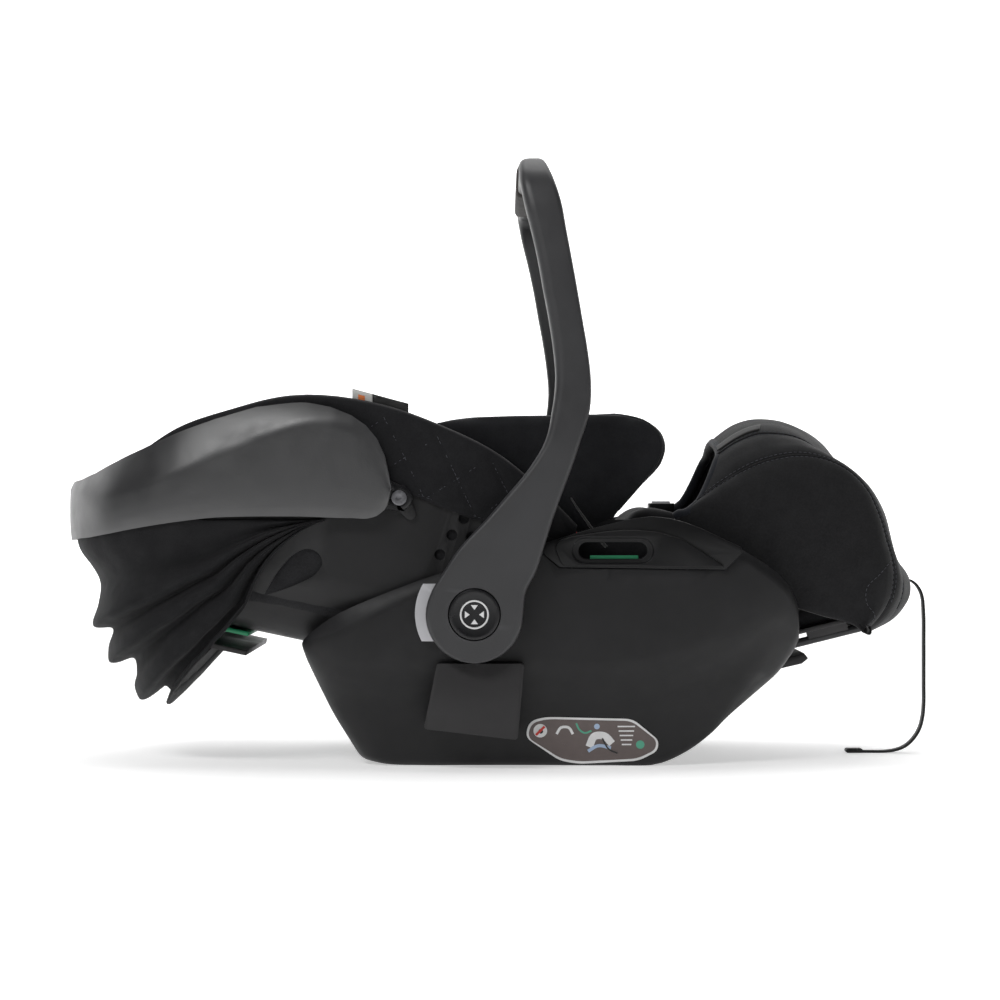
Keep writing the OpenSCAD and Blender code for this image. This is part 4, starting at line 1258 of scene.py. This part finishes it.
# ---------------------------------------------------------------- straps, label, tag
# The cover's elastic, from beside the bolster out to the belt slot
ELASTIC_ROUTE = [(76, 152.5, 246), (80, 166, 239), (86, 177, 230), (93, 181, 220), (100, 181.3, 210),
                 (107, 181, 202)]


def build_elastics():
    for side, word in zip(SIDES, ("left", "right")):
        path = by_index([(x, side * y, z) for x, y, z in ELASTIC_ROUTE], 5)
        radius = np.linspace(2.0, 3.8, len(path))
        elastic = tube(f"cover_elastic_{word}", path, radius, WEBBING, 8, flat=0.4)
        place(elastic, "base", "webbing", *(["cover_elastics"] if side < 0 else []), mode="blend")
        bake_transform(elastic)


LABEL_OUTLINE = [(33, 27), (37, 42), (52, 46), (132, 44), (156, 24), (155, 14), (138, 5), (83, 2), (65, 5)]


STICKER_CELL = 2.5


def on_base(outline, lift, side, name, material):
    """A flat shape in XZ laid on the base's side as a thin sticker."""
    outline = np.array(outline, float)
    mesh = bpy.data.meshes.new(name)
    bm = bmesh.new()
    bm.faces.new([bm.verts.new((x * MM, 0, z * MM)) for x, z in outline])
    bm.normal_update()
    for column, axis in enumerate((Vector((1, 0, 0)), Vector((0, 0, 1)))):
        low, high = outline[:, column].min(), outline[:, column].max()
        for k in np.arange(math.floor(low / STICKER_CELL) + 1, high / STICKER_CELL):
            bmesh.ops.bisect_plane(bm, geom=bm.verts[:] + bm.edges[:] + bm.faces[:],
                                   plane_co=axis * float(k * STICKER_CELL * MM), plane_no=axis)
    for v in bm.verts:
        y = side_y(BASE_TREE, v.co.x / MM, v.co.z / MM, side)
        v.co.y = ((y if y is not None else side * 165) + side * lift) * MM
    bm.to_mesh(mesh)
    bm.free()
    mesh.materials.append(material)
    piece = bpy.data.objects.new(name, mesh)
    bpy.context.collection.objects.link(piece)
    return sharpen(thicken(piece, 0.25), 60)


def band(points, width):
    """A line of constant width as an outline."""
    p = np.array(points, float)
    t = directions(p)
    n = np.stack([-t[:, 1], t[:, 0]], axis=1) * width / 2
    return np.concatenate([p + n, (p - n)[::-1]])


def build_labels():
    """Sticker low on each side: pictograms only, with no words."""
    for side, word in zip(SIDES, ("left", "right")):
        outer = fillet(LABEL_OUTLINE, [7] * len(LABEL_OUTLINE), 5, closed=True)
        middle = np.array((95, 25))
        inner = middle + (np.array(outer) - middle) * (0.965, 0.90)
        shapes = [(outer, 0.3, WHITE), (inner, 0.5, BROWN)]
        x, z = 47, 33
        ring = np.array(circle(x, z, 8.5))
        shapes += [(ring, 0.7, RED_INK), (circle(x, z, 6.3), 0.85, WHITE)]
        shapes.append((band([(x - 4, z - 4), (x, z), (x + 4, z + 4)], 2.2), 1.0, RED_INK))
        shapes.append((circle(x + 0.5, z - 0.5, 2.2), 0.95, BLACK_INK))
        shapes.append((band(by_index([(62, 30), (66, 36), (73, 36), (77, 30)], 5), 2.4), 0.7, WHITE))
        shapes += [(circle(65, 29.5, 2.2), 0.75, WHITE), (circle(75, 29.5, 2.2), 0.75, WHITE)]
        shapes.append((band(by_index([(80, 40), (83, 34), (88, 31), (94, 33)], 5), 1.6), 0.7, GREEN_INK))
        shapes += [([(66, 14), (76, 11), (76, 21), (66, 24)], 0.7, WHITE),
                   ([(68, 16), (74, 14), (74, 19), (68, 21)], 0.85, BROWN)]
        shapes += [(circle(98, 36, 4.5), 0.7, WHITE), (circle(99, 37, 2.6), 0.85, BLUE_INK)]
        shapes.append((band(by_index([(92, 18), (97, 28), (106, 28), (113, 21)], 6), 7), 0.7, WHITE))
        shapes.append((band(by_index([(91, 14), (100, 19), (112, 17)], 6), 3), 0.85, BLUE_INK))
        shapes.append((band(by_index([(104, 26), (110, 16), (118, 12)], 6), 1.4), 0.95, BLACK_INK))
        for k in range(5):
            z_line = 37 - 4.2 * k
            text_line = [(118 + k, z_line), (124 + k, z_line), (134 - 0.8 * k, z_line)]
            shapes.append((band(text_line, 1.3), 0.7, WHITE))
        shapes += [(circle(139, 20, 5.2), 0.7, WHITE), (circle(139, 20, 3.9), 0.85, GREEN_INK)]
        stickers = [on_base(o, lift, side, "l", m) for o, lift, m in shapes]
        label = joined(f"info_label_{word}", stickers)
        place(label, "base", "label", *(["info_labels"] if side < 0 else []))


def build_tag():
    """Printed ribbon sewn into the rim: a pale end with an orange mark, and a black end."""
    def strip(name, x0, x1, z_shift, material, thick, out):
        rows = []
        for x in np.linspace(x0, x1, 10):
            base_z = np.interp(x, (-124, -74), (330, 320))
            top_z = np.interp(x, (-126, -74), (347.5, 333.5)) + z_shift
            wave = 0.8 * math.sin(x * 0.12)
            rows.append([(x, -163.5 - out + wave * share, base_z + (top_z - base_z) * share)
                         for share in np.linspace(0, 1, 6)])
        return thicken(surface(name, rows, material), thick)
    ribbon = strip("tag_white", -125.5, -106, 0, TAG, 0.5, 0)
    dark = strip("tag_black", -107, -74, 0, BLACK_INK, 0.5, 0.2)
    mark = strip("tag_mark", -120, -114, -4, ORANGE_INK, 0.3, 0.5)
    tag = joined("care_tag_ribbon", [ribbon, dark, mark])
    place(tag, "backrest", "tag", "care_tag")


build_elastics()
build_labels()
build_tag()


# ---------------------------------------------------------------- hardware and inner parts, from CAD
HARDWARE = [  # node, body, slot, material, bevel
    ("seat_pan", "base", "inner_plastic", INNER, 1.0),
    ("base_foam", "base", "foam", FOAM, 3.0),
    ("belt_markers", "base", "marker", GREEN, 0.4),
    ("adapter_socket_left", "base", "shell", INNER, 1.6),
    ("adapter_socket_right", "base", "shell", INNER, 1.6),
    ("pivot_collar_left", "base", "collar", COLLAR, 1.2),
    ("pivot_collar_right", "base", "collar", COLLAR, 1.2),
    ("pivot_pins", "base", "steel", STEEL, 0.4),
    ("recline_pins", "base", "steel", STEEL, 0.4),
    ("leg_rest_guides", "base", "inner_plastic", INNER, 0.6),
    ("lock_bars", "base", "steel", STEEL, 0.4),
    ("base_feet", "base", "feet", FEET, 0.4),
    ("crotch_strap", "base", "webbing", WEBBING, 0.3),
    ("buckle_housing", "base", "inner_plastic", BUTTON, 1.5),
    ("buckle_button", "buckle_button", "red_button", RED, 1.2),
    ("adjuster_housing", "base", "inner_plastic", BUTTON, 1.2),
    ("adjuster_button", "adjuster_button", "collar", COLLAR, 1.2),
    ("release_lever", "release_lever", "inner_plastic", INNER, 1.0),
    ("release_pivot", "base", "steel", STEEL, 0.3),
    ("lock_gear_left", "left_button", "steel", STEEL, 0.3),
    ("lock_gear_right", "right_button", "steel", STEEL, 0.3),
    ("button_springs", "base", "steel", STEEL, 0),
    ("rear_belt_guide", "backrest", "inner_plastic", INNER, 1.2),
    ("rear_belt_marker", "backrest", "marker", GREEN, 0.8),
    ("hood_brackets", "backrest", "inner_plastic", BACK, 0.8),
    ("shoulder_strap_left", "backrest", "webbing", WEBBING, 1.2),
    ("shoulder_strap_right", "backrest", "webbing", WEBBING, 1.2),
    ("harness_yoke", "backrest", "steel", STEEL, 0.6),
    ("hood_screws", "backrest", "steel", DARK_STEEL, 0.4),
    ("headrest_shell", "headrest", "inner_plastic", INNER, 1.2),
    ("headrest_grip", "headrest", "collar", COLLAR, 1.0),
    ("hood_arms", "hood", "inner_plastic", BUTTON, 0.8),
    ("leg_rest_frame", "leg_rest", "rods", RODS, 0.5),
    ("leg_rest_panel", "leg_rest", "inner_plastic", INNER, 0.8)]
BUCKLE_GAP = 0.93  # the button's size as a share, so that it clears the buckle's rounded opening


def build_hardware():
    for node, body, slot, material, bevel in HARDWARE:
        piece = from_node(f"{node}_part", node, material)
        if node == "buckle_button":
            middle = sum((v.co for v in piece.data.vertices), Vector()) / len(piece.data.vertices)
            for v in piece.data.vertices:
                v.co = middle + (v.co - middle) * BUCKLE_GAP
        if bevel:
            soften(piece, bevel, 2, 40)
        else:
            sharpen(piece, 40)
        place(piece, body, slot, node)


build_hardware()
